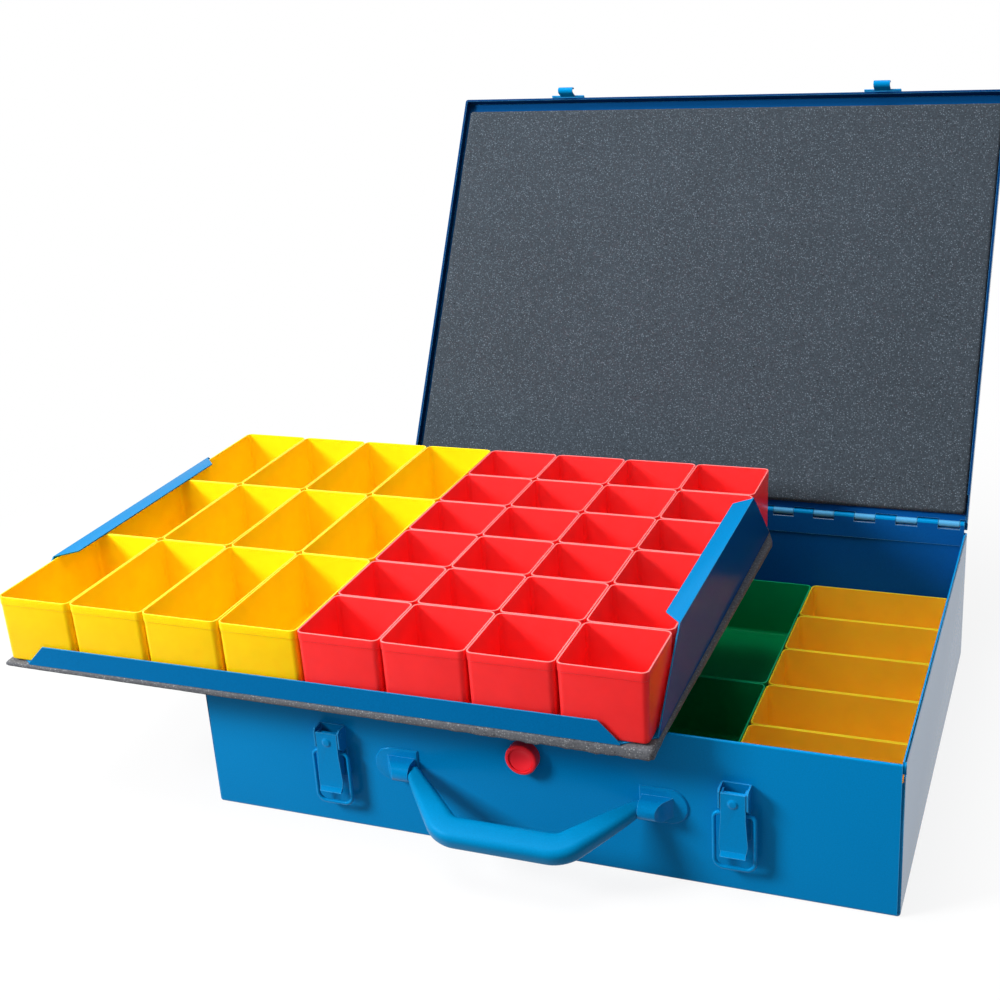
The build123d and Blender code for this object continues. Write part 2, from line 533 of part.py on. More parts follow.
# ---- tray, in its own frame: origin on the plane of the box rims ----
def tray_pan():
    floor_z = -BOX_H - SHEET
    foot, side_foot = TRAY_FLANGE_FOOT, END_FOOT
    floor = Plane.XY.offset(floor_z) * make_face(Polyline(
        (-foot, -PAN_HALF_Y), (foot, -PAN_HALF_Y), (PAN_HALF_X, -side_foot), (PAN_HALF_X, side_foot),
        (foot, PAN_HALF_Y), (-foot, PAN_HALF_Y), (-PAN_HALF_X, side_foot), (-PAN_HALF_X, -side_foot),
        close=True))
    pan = extrude(floor, SHEET, dir=(0, 0, 1))
    top = -BOX_H + TRAY_FLANGE_H
    outline = [(-TRAY_FLANGE_FOOT, floor_z), (-TRAY_FLANGE_FOOT, -BOX_H), (-TRAY_FLANGE_TOP, top),
               (TRAY_FLANGE_TOP, top), (TRAY_FLANGE_FOOT, -BOX_H), (TRAY_FLANGE_FOOT, floor_z)]
    pan += plate_xz(outline, -PAN_HALF_Y - SHEET, -PAN_HALF_Y)
    pan += plate_xz(outline, PAN_HALF_Y, PAN_HALF_Y + SHEET)
    lip_z = LIP_LIFT + SHEET
    for sign in (-1, 1):
        x0 = sign * PAN_HALF_X
        x1 = sign * (PAN_HALF_X + SHEET)
        wall = [(-END_FOOT, floor_z), (-END_FOOT, -BOX_H), (-END_TOP, lip_z),
                (END_TOP, lip_z), (END_FOOT, -BOX_H), (END_FOOT, floor_z)]
        pan += bar_yz(wall, min(x0, x1), max(x0, x1))
        lip = Plane.XY.offset(LIP_LIFT) * make_face(Polyline(
            (x1, -END_TOP), (x1, END_TOP), (x1 - sign * LIP_W, END_TOP - LIP_CHAMFER),
            (x1 - sign * LIP_W, -END_TOP + LIP_CHAMFER), close=True))
        pan += extrude(lip, SHEET, dir=(0, 0, 1))
    return pan


def tray_foam_mat():
    edge = PAN_HALF_X + SHEET
    left, right = -PAN_HALF_X - MAT_LEFT, edge + MAT_RIGHT_BACK
    front, back = -PAN_HALF_Y - SHEET - MAT_FRONT, PAN_HALF_Y + SHEET - MAT_SHORT
    low = -BOX_H - SHEET - MAT_T
    outline = Plane.XY.offset(low) * make_face(Polyline(
        (left, front), (edge + MAT_RIGHT_FRONT, front), (right, back - MAT_CUT_Y),
        (right - MAT_CUT_X, back), (left, back), close=True))
    return extrude(outline, MAT_T, dir=(0, 0, 1))


def build():
    add("case_body", case_body())
    add("hinge_leaf_case", hinge_leaf_case())
    add("hinge_pin", hinge_pin())
    add("hinge_leaf_lid", hinge_leaf_lid(), OPEN_LID)
    add("lid_pan", lid_pan(), OPEN_LID)
    add("lid_foam_pad", lid_foam_pad(), OPEN_LID)
    for side, word in ((-1, "left"), (1, "right")):
        add("case_tab_" + word, case_tab(side))
        add("lid_keeper_" + word, lid_keeper(side), OPEN_LID)
        add("latch_base_" + word, latch_base(side))
        add("latch_pin_" + word, latch_pin(side))
        add("latch_lever_" + word, latch_lever(side))
        add("latch_bail_" + word, latch_bail(side))
        add("handle_bracket_" + word, handle_bracket(side))
    add("handle", handle())
    add("button_bezel", button_bezel())
    add("push_button", push_button())
    add("button_clip", button_clip())
    add("button_spring", button_spring())
    add("tray_pan", tray_pan(), PARKED)
    add("tray_foam_mat", tray_foam_mat(), PARKED)
    long_box, small_box = insert_box(1, 2), insert_box(1, 1)
    wide_box, large_box = insert_box(2, 1), insert_box(2, 3)
    for i in range(4):
        cells = [(i, row) for row in range(0, GRID_ROWS, 2)]
        add("tray_boxes_yellow_%d" % (i + 1), box_group(long_box, cells, 1, 2, PARKED))
    for i in range(4):
        cells = [(4 + i, row) for row in range(GRID_ROWS)]
        add("tray_boxes_red_%d" % (i + 1), box_group(small_box, cells, 1, 1, PARKED))
    lower = Pos(LOWER_X, LOWER_Y, SHEET + BOX_H)
    for row in range(GRID_ROWS):
        add("lower_box_yellow_%d" % (row + 1), box_at(wide_box, 6, row, 2, 1), lower)
    for i in range(6):
        add("lower_box_green_%d" % (i + 1), box_at(large_box, 2 * (i // 2), 3 * (i % 2), 2, 3), lower)


build()
os.makedirs("parts", exist_ok=True)
for name, shape in NODES.items():
    export_step(shape, "parts/" + name + ".step")
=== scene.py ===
"""Folded steel assortment case: lid open, tray of insert boxes parked across the rims."""
import json
from math import atan2, cos, pi, radians, sin, tan

import bmesh
import bpy
from mathutils import Euler, Matrix, Vector, noise


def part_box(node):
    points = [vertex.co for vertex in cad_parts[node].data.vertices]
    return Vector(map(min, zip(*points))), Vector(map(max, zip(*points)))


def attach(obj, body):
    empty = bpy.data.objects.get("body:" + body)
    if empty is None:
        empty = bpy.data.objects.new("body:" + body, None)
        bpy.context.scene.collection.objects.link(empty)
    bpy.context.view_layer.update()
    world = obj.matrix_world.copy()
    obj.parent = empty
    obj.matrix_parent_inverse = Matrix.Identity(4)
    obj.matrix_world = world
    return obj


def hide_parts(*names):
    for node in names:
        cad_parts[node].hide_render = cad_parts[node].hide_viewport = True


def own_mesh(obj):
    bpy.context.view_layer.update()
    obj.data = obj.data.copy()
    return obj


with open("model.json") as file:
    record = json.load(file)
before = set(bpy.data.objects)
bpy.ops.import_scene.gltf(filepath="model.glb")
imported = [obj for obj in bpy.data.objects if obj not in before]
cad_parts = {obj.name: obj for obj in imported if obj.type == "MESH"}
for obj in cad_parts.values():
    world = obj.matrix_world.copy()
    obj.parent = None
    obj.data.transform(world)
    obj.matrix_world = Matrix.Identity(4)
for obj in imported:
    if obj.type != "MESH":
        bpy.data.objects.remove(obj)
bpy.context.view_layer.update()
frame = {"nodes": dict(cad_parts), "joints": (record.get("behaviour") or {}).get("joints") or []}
scene = bpy.context.scene
MM = 0.001                   # all lengths are in metres

# ---------------------------------------------------------------------------------------------
# Camera: a rather long lens, from the front right and from above, rolled a little on its axis.
# ---------------------------------------------------------------------------------------------
CAMERA_AT = (0.3002, -0.8884, 0.5372)
CAMERA_TURN = (68.731, 3.642, 21.424)      # degrees
CAMERA_LENS = 54.5
SENSOR = 36.0
CAMERA_CLIP = 0.05

camera_data = bpy.data.cameras.new("camera")
camera_data.sensor_width = SENSOR
camera_data.lens = CAMERA_LENS
camera_data.clip_start = CAMERA_CLIP
camera = bpy.data.objects.new("camera", camera_data)
camera.location = CAMERA_AT
camera.rotation_euler = Euler([radians(angle) for angle in CAMERA_TURN])
scene.collection.objects.link(camera)
scene.camera = camera
scene.view_settings.view_transform = "Standard"


# ---------------------------------------------------------------------------------------------
# Studio: pale paper, an even surround and two soft lamps. The one overhead is the stronger, the
# one in front on the left is near enough for the front to fall off in brightness to the right.
# ---------------------------------------------------------------------------------------------
AMBIENT = 0.28               # the surround as a lamp; the camera and reflections see plain white
FLOOR_HALF = 4.0
FLOOR_HEX = "#F6F6F6"
FLOOR_BOUNCE_HEX = "#808080" # the paper as a lamp, so that undersides stay dark
FLOOR_WHITE_NEAR = 0.88      # share of plain white in what the camera sees of the floor by the case
FLOOR_WHITE_FROM = 0.3       # distance from the case's middle up to which it keeps that share
FLOOR_WHITE_AT = 0.75        # and at which it is all white
LAMPS = (
    # name, place, aimed at, width, height, watts
    ("top_lamp", (-0.40, -0.2, 1.9), (0.0, 0.0, 0.1), 1.2, 1.2, 30.0),
    ("left_lamp", (-1.22, -1.02, 1.05), (-0.05, -0.15, 0.08), 0.5, 0.5, 35.0),
)


def linear(hex_colour):
    """Linear RGBA from an sRGB hex value."""
    parts = [int(hex_colour[i:i + 2], 16) / 255 for i in (1, 3, 5)]
    return [p / 12.92 if p <= 0.04045 else ((p + 0.055) / 1.055) ** 2.4 for p in parts] + [1.0]


def add_node(tree, kind, inputs=None, **settings):
    """One node with its settings. inputs maps sockets to values or to other nodes' outputs."""
    made = tree.nodes.new(kind)
    for name, value in settings.items():
        setattr(made, name, value)
    for socket, value in (inputs or {}).items():
        if isinstance(value, bpy.types.NodeSocket):
            tree.links.new(value, made.inputs[socket])
        else:
            made.inputs[socket].default_value = value
    return made


world = bpy.data.worlds.new("white_surround")
scene.world = world
world.use_nodes = True
sky = world.node_tree
sky.nodes.clear()
ray = add_node(sky, "ShaderNodeLightPath")
seen = add_node(sky, "ShaderNodeMath",
                {0: ray.outputs["Is Camera Ray"], 1: ray.outputs["Is Glossy Ray"]}, operation="MAXIMUM")
seen = add_node(sky, "ShaderNodeMath",
                {0: seen.outputs[0], 1: ray.outputs["Is Transmission Ray"]}, operation="MAXIMUM")
strength = add_node(sky, "ShaderNodeMapRange",
                    {"Value": seen.outputs[0], "To Min": AMBIENT, "To Max": 1.0})
backdrop = add_node(sky, "ShaderNodeBackground",
                    {"Color": (1, 1, 1, 1), "Strength": strength.outputs[0]})
add_node(sky, "ShaderNodeOutputWorld", {"Surface": backdrop.outputs[0]})

for name, place, target, width, height, watts in LAMPS:
    lamp_data = bpy.data.lights.new(name, "AREA")
    lamp_data.shape = "RECTANGLE"
    lamp_data.size = width
    lamp_data.size_y = height
    lamp_data.energy = watts
    lamp = bpy.data.objects.new(name, lamp_data)
    lamp.location = place
    lamp.rotation_euler = (Vector(target) - Vector(place)).to_track_quat("-Z", "Y").to_euler()
    lamp.visible_camera = False
    scene.collection.objects.link(lamp)

floor_paper = bpy.data.materials.new("floor_paper")
floor_paper.use_nodes = True
tree = floor_paper.node_tree
tree.nodes.clear()
ray = add_node(tree, "ShaderNodeLightPath")
seen = add_node(tree, "ShaderNodeMath",
                {0: ray.outputs["Is Camera Ray"], 1: ray.outputs["Is Glossy Ray"]}, operation="MAXIMUM")
where = add_node(tree, "ShaderNodeTexCoord")
away = add_node(tree, "ShaderNodeVectorMath", {0: where.outputs["Object"]}, operation="LENGTH")
share = add_node(tree, "ShaderNodeMapRange",
                 {"Value": away.outputs["Value"], "From Min": FLOOR_WHITE_FROM,
                  "From Max": FLOOR_WHITE_AT, "To Min": FLOOR_WHITE_NEAR, "To Max": 1.0})
share = add_node(tree, "ShaderNodeMath", {0: seen.outputs[0], 1: share.outputs[0]}, operation="MULTIPLY")
colour = add_node(tree, "ShaderNodeMixRGB",
                  {"Fac": seen.outputs[0], "Color1": linear(FLOOR_BOUNCE_HEX),
                   "Color2": linear(FLOOR_HEX)})
paper = add_node(tree, "ShaderNodeBsdfDiffuse", {"Color": colour.outputs[0]})
white = add_node(tree, "ShaderNodeEmission", {"Color": (1, 1, 1, 1)})
mixed = add_node(tree, "ShaderNodeMixShader",
                 {0: share.outputs[0], 1: paper.outputs[0], 2: white.outputs[0]})
add_node(tree, "ShaderNodeOutputMaterial", {"Surface": mixed.outputs[0]})

floor_mesh = bpy.data.meshes.new("floor")
floor_mesh.from_pydata([(-FLOOR_HALF, -FLOOR_HALF, 0), (FLOOR_HALF, -FLOOR_HALF, 0),
                        (FLOOR_HALF, FLOOR_HALF, 0), (-FLOOR_HALF, FLOOR_HALF, 0)], [], [(0, 1, 2, 3)])
floor_mesh.materials.append(floor_paper)
floor = bpy.data.objects.new("floor", floor_mesh)
scene.collection.objects.link(floor)


# ---------------------------------------------------------------------------------------------
# Case: a pan folded from 1 mm sheet steel, its rim folded over, its corners spot welded on tabs,
# then stove enamelled. The enamel is an even satin skin, slightly rippled, with painted highlights on
# edges.
# ---------------------------------------------------------------------------------------------
ENAMEL_HEX = "#0087C8"
ENAMEL_DEEP_HEX = "#007EBE"
ENAMEL_IOR = 1.5
ENAMEL_GLOSS_HEX = "#4CB0F0" # what the pigment leaves of a straight reflection
ENAMEL_RIPPLE = 1.6 * MM     # orange peel of a sprayed and stoved coat
ENAMEL_RIPPLE_DEPTH = 0.010 * MM
ENAMEL_GRAIN = 0.9 * MM      # far finer in life, drawn as coarse as it needs to show
ENAMEL_GRAIN_TONE = (0.93, 1.07)
ENAMEL_DRIFT = 90 * MM       # slow change from the light to the deep shade
ENAMEL_EDGE = 0.5 * MM       # painted highlight, this far from an edge
ENAMEL_EDGE_TURN = (0.99, 0.85)      # cosine of the rounded edge's turn: painted highlight starts, and is full
# colour of the painted edge highlight
ENAMEL_EDGE_HIGHLIGHT_HEX = "#6FC6E8"
ENAMEL_EDGE_SAMPLES = 4
ENAMEL_EDGE_HIGHLIGHT_SHARE = 0.55           # strength of the painted highlight there
INNER_SHADE_HEX = "#0A58A4"        # painted shade: the coat inside drawn a deeper blue
INNER_SHADE_DEEP_HEX = "#085098"
SEAM_ENDS = (0.216, 0.2183)  # where the front panel's ends are in the solid, and where they are shown
SEAM_DEPTH = 2.5 * MM        # the panel and its hem, from the front
SEAM_FOUND = 0.1 * MM
NOISE_LOW = 0.3              # nearly all of a noise's values lie between these two
NOISE_HIGH = 0.7
SHEET_EDGE = 0.25 * MM       # rounding of sheared edges under the enamel
EDGE_SEGMENTS = 2
WELD = 0.002 * MM            # points nearer than this are one
FLAT_WITHIN = radians(0.5)   # triangles that turn by less than this are one face
LEVEL = 0.5                  # a face whose normal has more than this along z looks up or down
CASE_FLOOR_TOP = 20 * MM     # faces that look up from below this are the case's floor


def blank_material(name):
    """A material without nodes, and its node tree."""
    made = bpy.data.materials.new(name)
    made.use_nodes = True
    made.node_tree.nodes.clear()
    return made, made.node_tree


def noise_at(tree, size, detail=2.0, offset=0.0):
    """Noise on object coordinates, features about size across; offset keeps patterns apart."""
    where = add_node(tree, "ShaderNodeTexCoord")
    moved = add_node(tree, "ShaderNodeMapping",
                     {"Vector": where.outputs["Object"], "Location": (offset, offset, offset)})
    return add_node(tree, "ShaderNodeTexNoise",
                    {"Vector": moved.outputs[0], "Scale": 1 / size, "Detail": detail}).outputs[0]


def enamel(name, light_hex, deep_hex, roughness, gloss=0.2):
    """Stoved enamel: slow drift of colour, fine grain, a rippled satin surface and a painted highlight
    on edges.
    """
    made, tree = blank_material(name)
    colour = add_node(tree, "ShaderNodeMixRGB",
                      {"Fac": noise_at(tree, ENAMEL_DRIFT), "Color1": linear(light_hex),
                       "Color2": linear(deep_hex)})
    grain = add_node(tree, "ShaderNodeMapRange",
                     {"Value": noise_at(tree, ENAMEL_GRAIN, 3.0, 0.3),
                      "From Min": NOISE_LOW, "From Max": NOISE_HIGH,
                      "To Min": ENAMEL_GRAIN_TONE[0], "To Max": ENAMEL_GRAIN_TONE[1]})
    colour = add_node(tree, "ShaderNodeVectorMath", {0: colour.outputs[0], 1: grain.outputs[0]},
                      operation="MULTIPLY")
    # Painted highlight: the colour goes pale where the rounded normal turns away from the flat one.
    rounded = add_node(tree, "ShaderNodeBevel", {"Radius": ENAMEL_EDGE},
                       samples=ENAMEL_EDGE_SAMPLES)
    flat = add_node(tree, "ShaderNodeNewGeometry")
    turned = add_node(tree, "ShaderNodeVectorMath", {0: rounded.outputs[0], 1: flat.outputs["Normal"]},
                      operation="DOT_PRODUCT")
    thin_or_edge_highlight = add_node(tree, "ShaderNodeMapRange",
                    {"Value": turned.outputs["Value"], "From Min": ENAMEL_EDGE_TURN[0],
                     "From Max": ENAMEL_EDGE_TURN[1], "To Min": 0.0, "To Max": ENAMEL_EDGE_HIGHLIGHT_SHARE})
    colour = add_node(tree, "ShaderNodeMixRGB",
                      {"Fac": thin_or_edge_highlight.outputs[0], "Color1": colour.outputs[0],
                       "Color2": linear(ENAMEL_EDGE_HIGHLIGHT_HEX)})
    bump = add_node(tree, "ShaderNodeBump",
                    {"Height": noise_at(tree, ENAMEL_RIPPLE, 1.0, 0.7), "Strength": 1.0,
                     "Distance": ENAMEL_RIPPLE_DEPTH})
    shader = add_node(tree, "ShaderNodeBsdfPrincipled",
                      {"Base Color": colour.outputs[0], "Roughness": roughness, "IOR": ENAMEL_IOR,
                       "Specular IOR Level": gloss, "Specular Tint": linear(ENAMEL_GLOSS_HEX),
                       "Normal": bump.outputs[0]})
    add_node(tree, "ShaderNodeOutputMaterial", {"Surface": shader.outputs[0]})
    return made


blue_enamel = enamel("blue_stove_enamel", ENAMEL_HEX, ENAMEL_DEEP_HEX, 0.22)
# Painted shade: inside walls in a deeper, duller blue.
shaded_inner_enamel = enamel("deep_blue_inner_painted_shade", INNER_SHADE_HEX, INNER_SHADE_DEEP_HEX, 0.3, 0.1)


def whole_copy(node):
    """Copy of a CAD node with its loose triangles merged into whole flat faces."""
    mesh = frame["nodes"][node].data.copy()
    mesh.name = node
    form = bmesh.new()
    form.from_mesh(mesh)
    bmesh.ops.remove_doubles(form, verts=form.verts, dist=WELD)
    bmesh.ops.dissolve_limit(form, angle_limit=FLAT_WITHIN, verts=form.verts, edges=form.edges)
    form.to_mesh(mesh)
    form.free()
    return mesh


def finished(name, mesh, body, replaced, edge=0.0, smooth=32):
    """Object from a mesh in place: rounded edges, smooth over small angles, rides on its body."""
    mesh.shade_smooth()
    mesh.set_sharp_from_angle(angle=radians(smooth))
    piece = bpy.data.objects.new(name, mesh)
    scene.collection.objects.link(piece)
    if edge:
        rounding = piece.modifiers.new("edge", "BEVEL")
        rounding.width = edge
        rounding.segments = EDGE_SEGMENTS
        rounding.limit_method = "ANGLE"
        rounding.angle_limit = radians(smooth)
        rounding.harden_normals = True
    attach(piece, body)
    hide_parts(*replaced)
    return piece


def dressed(node, body, material, edge=SHEET_EDGE, smooth=32, reshape=None, others=()):
    """A CAD node's own form with rounded edges and its finish.

    reshape moves points of the mesh. others are (finish, test) pairs: faces for which test(points,
    normal) holds get that finish.
    """
    mesh = whole_copy(node)
    if reshape:
        reshape(mesh)
    mesh.materials.clear()
    mesh.materials.append(material)
    mesh.polygons.foreach_set("material_index", [0] * len(mesh.polygons))
    for number, (finish, test) in enumerate(others, 1):
        mesh.materials.append(finish)
        for face in mesh.polygons:
            if test([mesh.vertices[i].co for i in face.vertices], face.normal):
                face.material_index = number
    return finished(node + "_finished", mesh, body, [node], edge, smooth)


def narrow_seams(mesh):
    """Front panel and its hem reach nearly to the side walls, so that a thin dark seam is left."""
    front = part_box("case_body")[0].y
    drawn, shown = SEAM_ENDS
    for vertex in mesh.vertices:
        if abs(abs(vertex.co.x) - drawn) < SEAM_FOUND and vertex.co.y < front + SEAM_DEPTH:
            vertex.co.x = shown if vertex.co.x > 0 else -shown


def inside_case(points, normal):
    """Walls' inner faces below the rim, and the floor."""
    middle = sum(points, Vector()) / len(points)
    if abs(normal.z) > LEVEL:
        return normal.z > 0 and middle.z < CASE_FLOOR_TOP
    return normal.x * middle.x + normal.y * middle.y < 0


# The case's inner faces and floor get the deeper blue of painted shade.
dressed("case_body", "case", blue_enamel, reshape=narrow_seams,
        others=[(shaded_inner_enamel, inside_case)])
for side in ("left", "right"):
    dressed("case_tab_" + side, "case", blue_enamel)


# ---------------------------------------------------------------------------------------------
# Piano hinge: two steel leaves with their knuckles rolled round one long pin. One is spot welded
# to the case's back wall and one inside the lid, and all of it is enamelled with them.
# ---------------------------------------------------------------------------------------------
KNUCKLE_REACH = 3.2 * MM     # from the pin's middle to the outside of a knuckle, and a hair
LEAF_EDGE = 0.15 * MM
PIN_EDGE = 0.1 * MM

lid_joint = next(joint for joint in frame["joints"] if joint["name"] == "lid_hinge")
hinge_at = Vector(lid_joint["pos_m"])


def off_the_pin(points, normal):
    """Leaf's flat part, as against its rolled knuckles."""
    return max((point.yz - hinge_at.yz).length for point in points) > KNUCKLE_REACH


# The leaves' flat parts get the deeper blue of painted shade.
dressed("hinge_leaf_case", "case", blue_enamel, edge=LEAF_EDGE,
        others=[(shaded_inner_enamel, off_the_pin)])
# Painted highlight: the lid leaf's rolled knuckles are drawn in a pale blue.
highlit_knuckle_enamel = enamel("pale_blue_painted_knuckle_highlight", "#5AA6D6", "#4A9CCE", 0.3)
dressed("hinge_leaf_lid", "lid", highlit_knuckle_enamel, edge=LEAF_EDGE,
        others=[(shaded_inner_enamel, off_the_pin)])
dressed("hinge_pin", "case", blue_enamel, edge=PIN_EDGE)


# ---------------------------------------------------------------------------------------------
# Lid: a shallow pan of the same sheet with folded hems, and a pad of dark open-cell foam glued
# inside. The pad's skin is cut foam: torn cells that catch the light as pale specks.
# ---------------------------------------------------------------------------------------------
FOAM_HEX = "#363E46"
# painted shade in the foam's holes
FOAM_PORE_SHADE_HEX = "#20262B"
FOAM_FLECK_HEX = "#6C7985"
FOAM_GRAIN = 1.1 * MM        # cut cells, which blur into a fine grain
FOAM_GRAIN_RANGE = (0.25, 0.75)
FOAM_GRAIN_TONE = (0.70, 1.30)
FOAM_GRAIN_DEPTH = 0.2 * MM
FOAM_GRAIN_STRENGTH = 0.6
FOAM_CLOUD = 45 * MM         # broad, faint change of shade
FOAM_CLOUD_TONE = (0.96, 1.04)
FOAM_FLECK = 1.25 * MM       # spacing of the torn walls that catch the light
FOAM_FLECK_REACH = 0.42      # radius in parts of the spacing
FOAM_PORE = 4.5 * MM         # spacing of the deeper holes, drawn dark as painted shade
FOAM_PORE_REACH = 0.20
FOAM_SPOTS = 0.8             # share of the flecks and of the holes that are there
SPOT_CORE = 0.5              # share of a spot's radius that has its full colour
FOAM_ROUGHNESS = 0.95
FOAM_GLOSS = 0.1
FOAM_FUZZ = 0.05             # torn walls catch a little light at a flat angle, as a nap does
FOAM_FUZZ_ROUGHNESS = 0.6
FOAM_STEP = 2.0 * MM         # mesh spacing of the pad's face
FOAM_ROUGH = 0.18 * MM       # how far the cut face wanders
FOAM_EDGE = 1.6 * MM         # how far the pad's edges are pressed in and rounded
FOAM_PRESSED = 0.3           # how deep they are pressed, in parts of that
SKIN_FINE = 3.1 * MM         # size of the skin's unevenness, fine and broad
SKIN_BROAD = 41 * MM
SKIN_SHARE = 0.7
SKIN_SEED = 1                # without one, vector noise starts from the clock in each run
ON_SKIN = 0.999              # a point this near a side, from 0 to 1, is on it
FOAM_SHORT = 2.2 * MM        # the pad ends this far in front of the hinge's knuckles
FOAM_WIDER = 2.5 * MM        # and reaches this much nearer to the left skirt than its plain solid
LEAF_UNDER = 1.1 * MM        # the pad is thinner by this where it laps over the hinge leaf
LEAF_REACH = 17.0 * MM       # and the leaf reaches this far in front of the hinge pin
LID_OPEN = radians(121.3)
LID_PANEL_Z = 0.1035         # between the hems and the panel of the closed lid
SQUARE_ON = 0.9              # a face whose normal has more than this along an axis looks that way

to_hinge = Matrix.Translation(hinge_at)
open_lid = to_hinge @ Matrix.Rotation(-LID_OPEN, 4, "X") @ to_hinge.inverted()


def lid_rim(points, normal):
    """Hems and skirts' inner faces, told in the closed lid."""
    place = open_lid.inverted() @ (sum(points, Vector()) / len(points))
    facing = open_lid.inverted().to_3x3() @ normal
    looks_in = facing.x * place.x + facing.y * place.y < -MM
    return looks_in or (facing.z < -LEVEL and place.z < LID_PANEL_Z)


def lid_panel(points, normal):
    """The panel's underside round the pad."""
    place = open_lid.inverted() @ points[0]
    return (open_lid.inverted().to_3x3() @ normal).z < -SQUARE_ON and place.z > LID_PANEL_Z


# Painted shade: inside the lid's narrow rim, and round the pad, the coat is drawn dull and nearly navy.
shaded_rim_enamel = enamel("navy_rim_painted_shade", "#04346A", "#032E60", 0.35, 0.05)
shaded_panel_enamel = enamel("navy_panel_painted_shade", "#0A4C86", "#08447A", 0.35, 0.05)
dressed("lid_pan", "lid", blue_enamel,
        others=[(shaded_rim_enamel, lid_rim), (shaded_panel_enamel, lid_panel)])


def spots(tree, spacing, reach, offset):
    """Mask of round spots, FOAM_SPOTS of them: reach is their radius in parts of the spacing."""
    where = add_node(tree, "ShaderNodeTexCoord")
    moved = add_node(tree, "ShaderNodeMapping",
                     {"Vector": where.outputs["Object"], "Location": (offset, offset, offset)})
    cells = add_node(tree, "ShaderNodeTexVoronoi", {"Vector": moved.outputs[0], "Scale": 1 / spacing})
    near = add_node(tree, "ShaderNodeMapRange",
                    {"Value": cells.outputs["Distance"], "From Min": reach,
                     "From Max": reach * SPOT_CORE, "To Min": 0.0, "To Max": 1.0})
    drawn = add_node(tree, "ShaderNodeSeparateXYZ", {0: cells.outputs["Color"]})
    kept = add_node(tree, "ShaderNodeMapRange",
                    {"Value": drawn.outputs[0], "From Min": 1 - FOAM_SPOTS, "From Max": 1.0,
                     "To Min": 0.0, "To Max": 1.0})
    return add_node(tree, "ShaderNodeMath", {0: near.outputs[0], 1: kept.outputs[0]},
                    operation="MULTIPLY").outputs[0]


def foam(name, base_hex, pore_shade_hex, fleck_hex):
    """Cut polyurethane foam: dull, with a fine grain, torn cell walls that catch the light as pale
    flecks, and holes in painted shade.
    """
    made, tree = blank_material(name)
    grain = noise_at(tree, FOAM_GRAIN)
    tone = add_node(tree, "ShaderNodeMapRange",
                    {"Value": grain, "From Min": FOAM_GRAIN_RANGE[0], "From Max": FOAM_GRAIN_RANGE[1],
                     "To Min": FOAM_GRAIN_TONE[0], "To Max": FOAM_GRAIN_TONE[1]})
    cloud = add_node(tree, "ShaderNodeMapRange",
                     {"Value": noise_at(tree, FOAM_CLOUD, 1.0, 0.4),
                      "From Min": NOISE_LOW, "From Max": NOISE_HIGH,
                      "To Min": FOAM_CLOUD_TONE[0], "To Max": FOAM_CLOUD_TONE[1]})
    tone = add_node(tree, "ShaderNodeMath", {0: tone.outputs[0], 1: cloud.outputs[0]},
                    operation="MULTIPLY")
    skin = add_node(tree, "ShaderNodeVectorMath", {0: linear(base_hex)[:3], 1: tone.outputs[0]},
                    operation="MULTIPLY")
    holed = add_node(tree, "ShaderNodeMixRGB",
                     {"Fac": spots(tree, FOAM_PORE, FOAM_PORE_REACH, 0.1),
                      "Color1": skin.outputs[0], "Color2": linear(pore_shade_hex)})
    flecked = add_node(tree, "ShaderNodeMixRGB",
                       {"Fac": spots(tree, FOAM_FLECK, FOAM_FLECK_REACH, 0.6),
                        "Color1": holed.outputs[0], "Color2": linear(fleck_hex)})
    bump = add_node(tree, "ShaderNodeBump",
                    {"Height": grain, "Strength": FOAM_GRAIN_STRENGTH, "Distance": FOAM_GRAIN_DEPTH})
    shader = add_node(tree, "ShaderNodeBsdfPrincipled",
                      {"Base Color": flecked.outputs[0], "Roughness": FOAM_ROUGHNESS,
                       "Specular IOR Level": FOAM_GLOSS, "Sheen Weight": FOAM_FUZZ,
                       "Sheen Roughness": FOAM_FUZZ_ROUGHNESS, "Normal": bump.outputs[0]})
    add_node(tree, "ShaderNodeOutputMaterial", {"Surface": shader.outputs[0]})
    return made


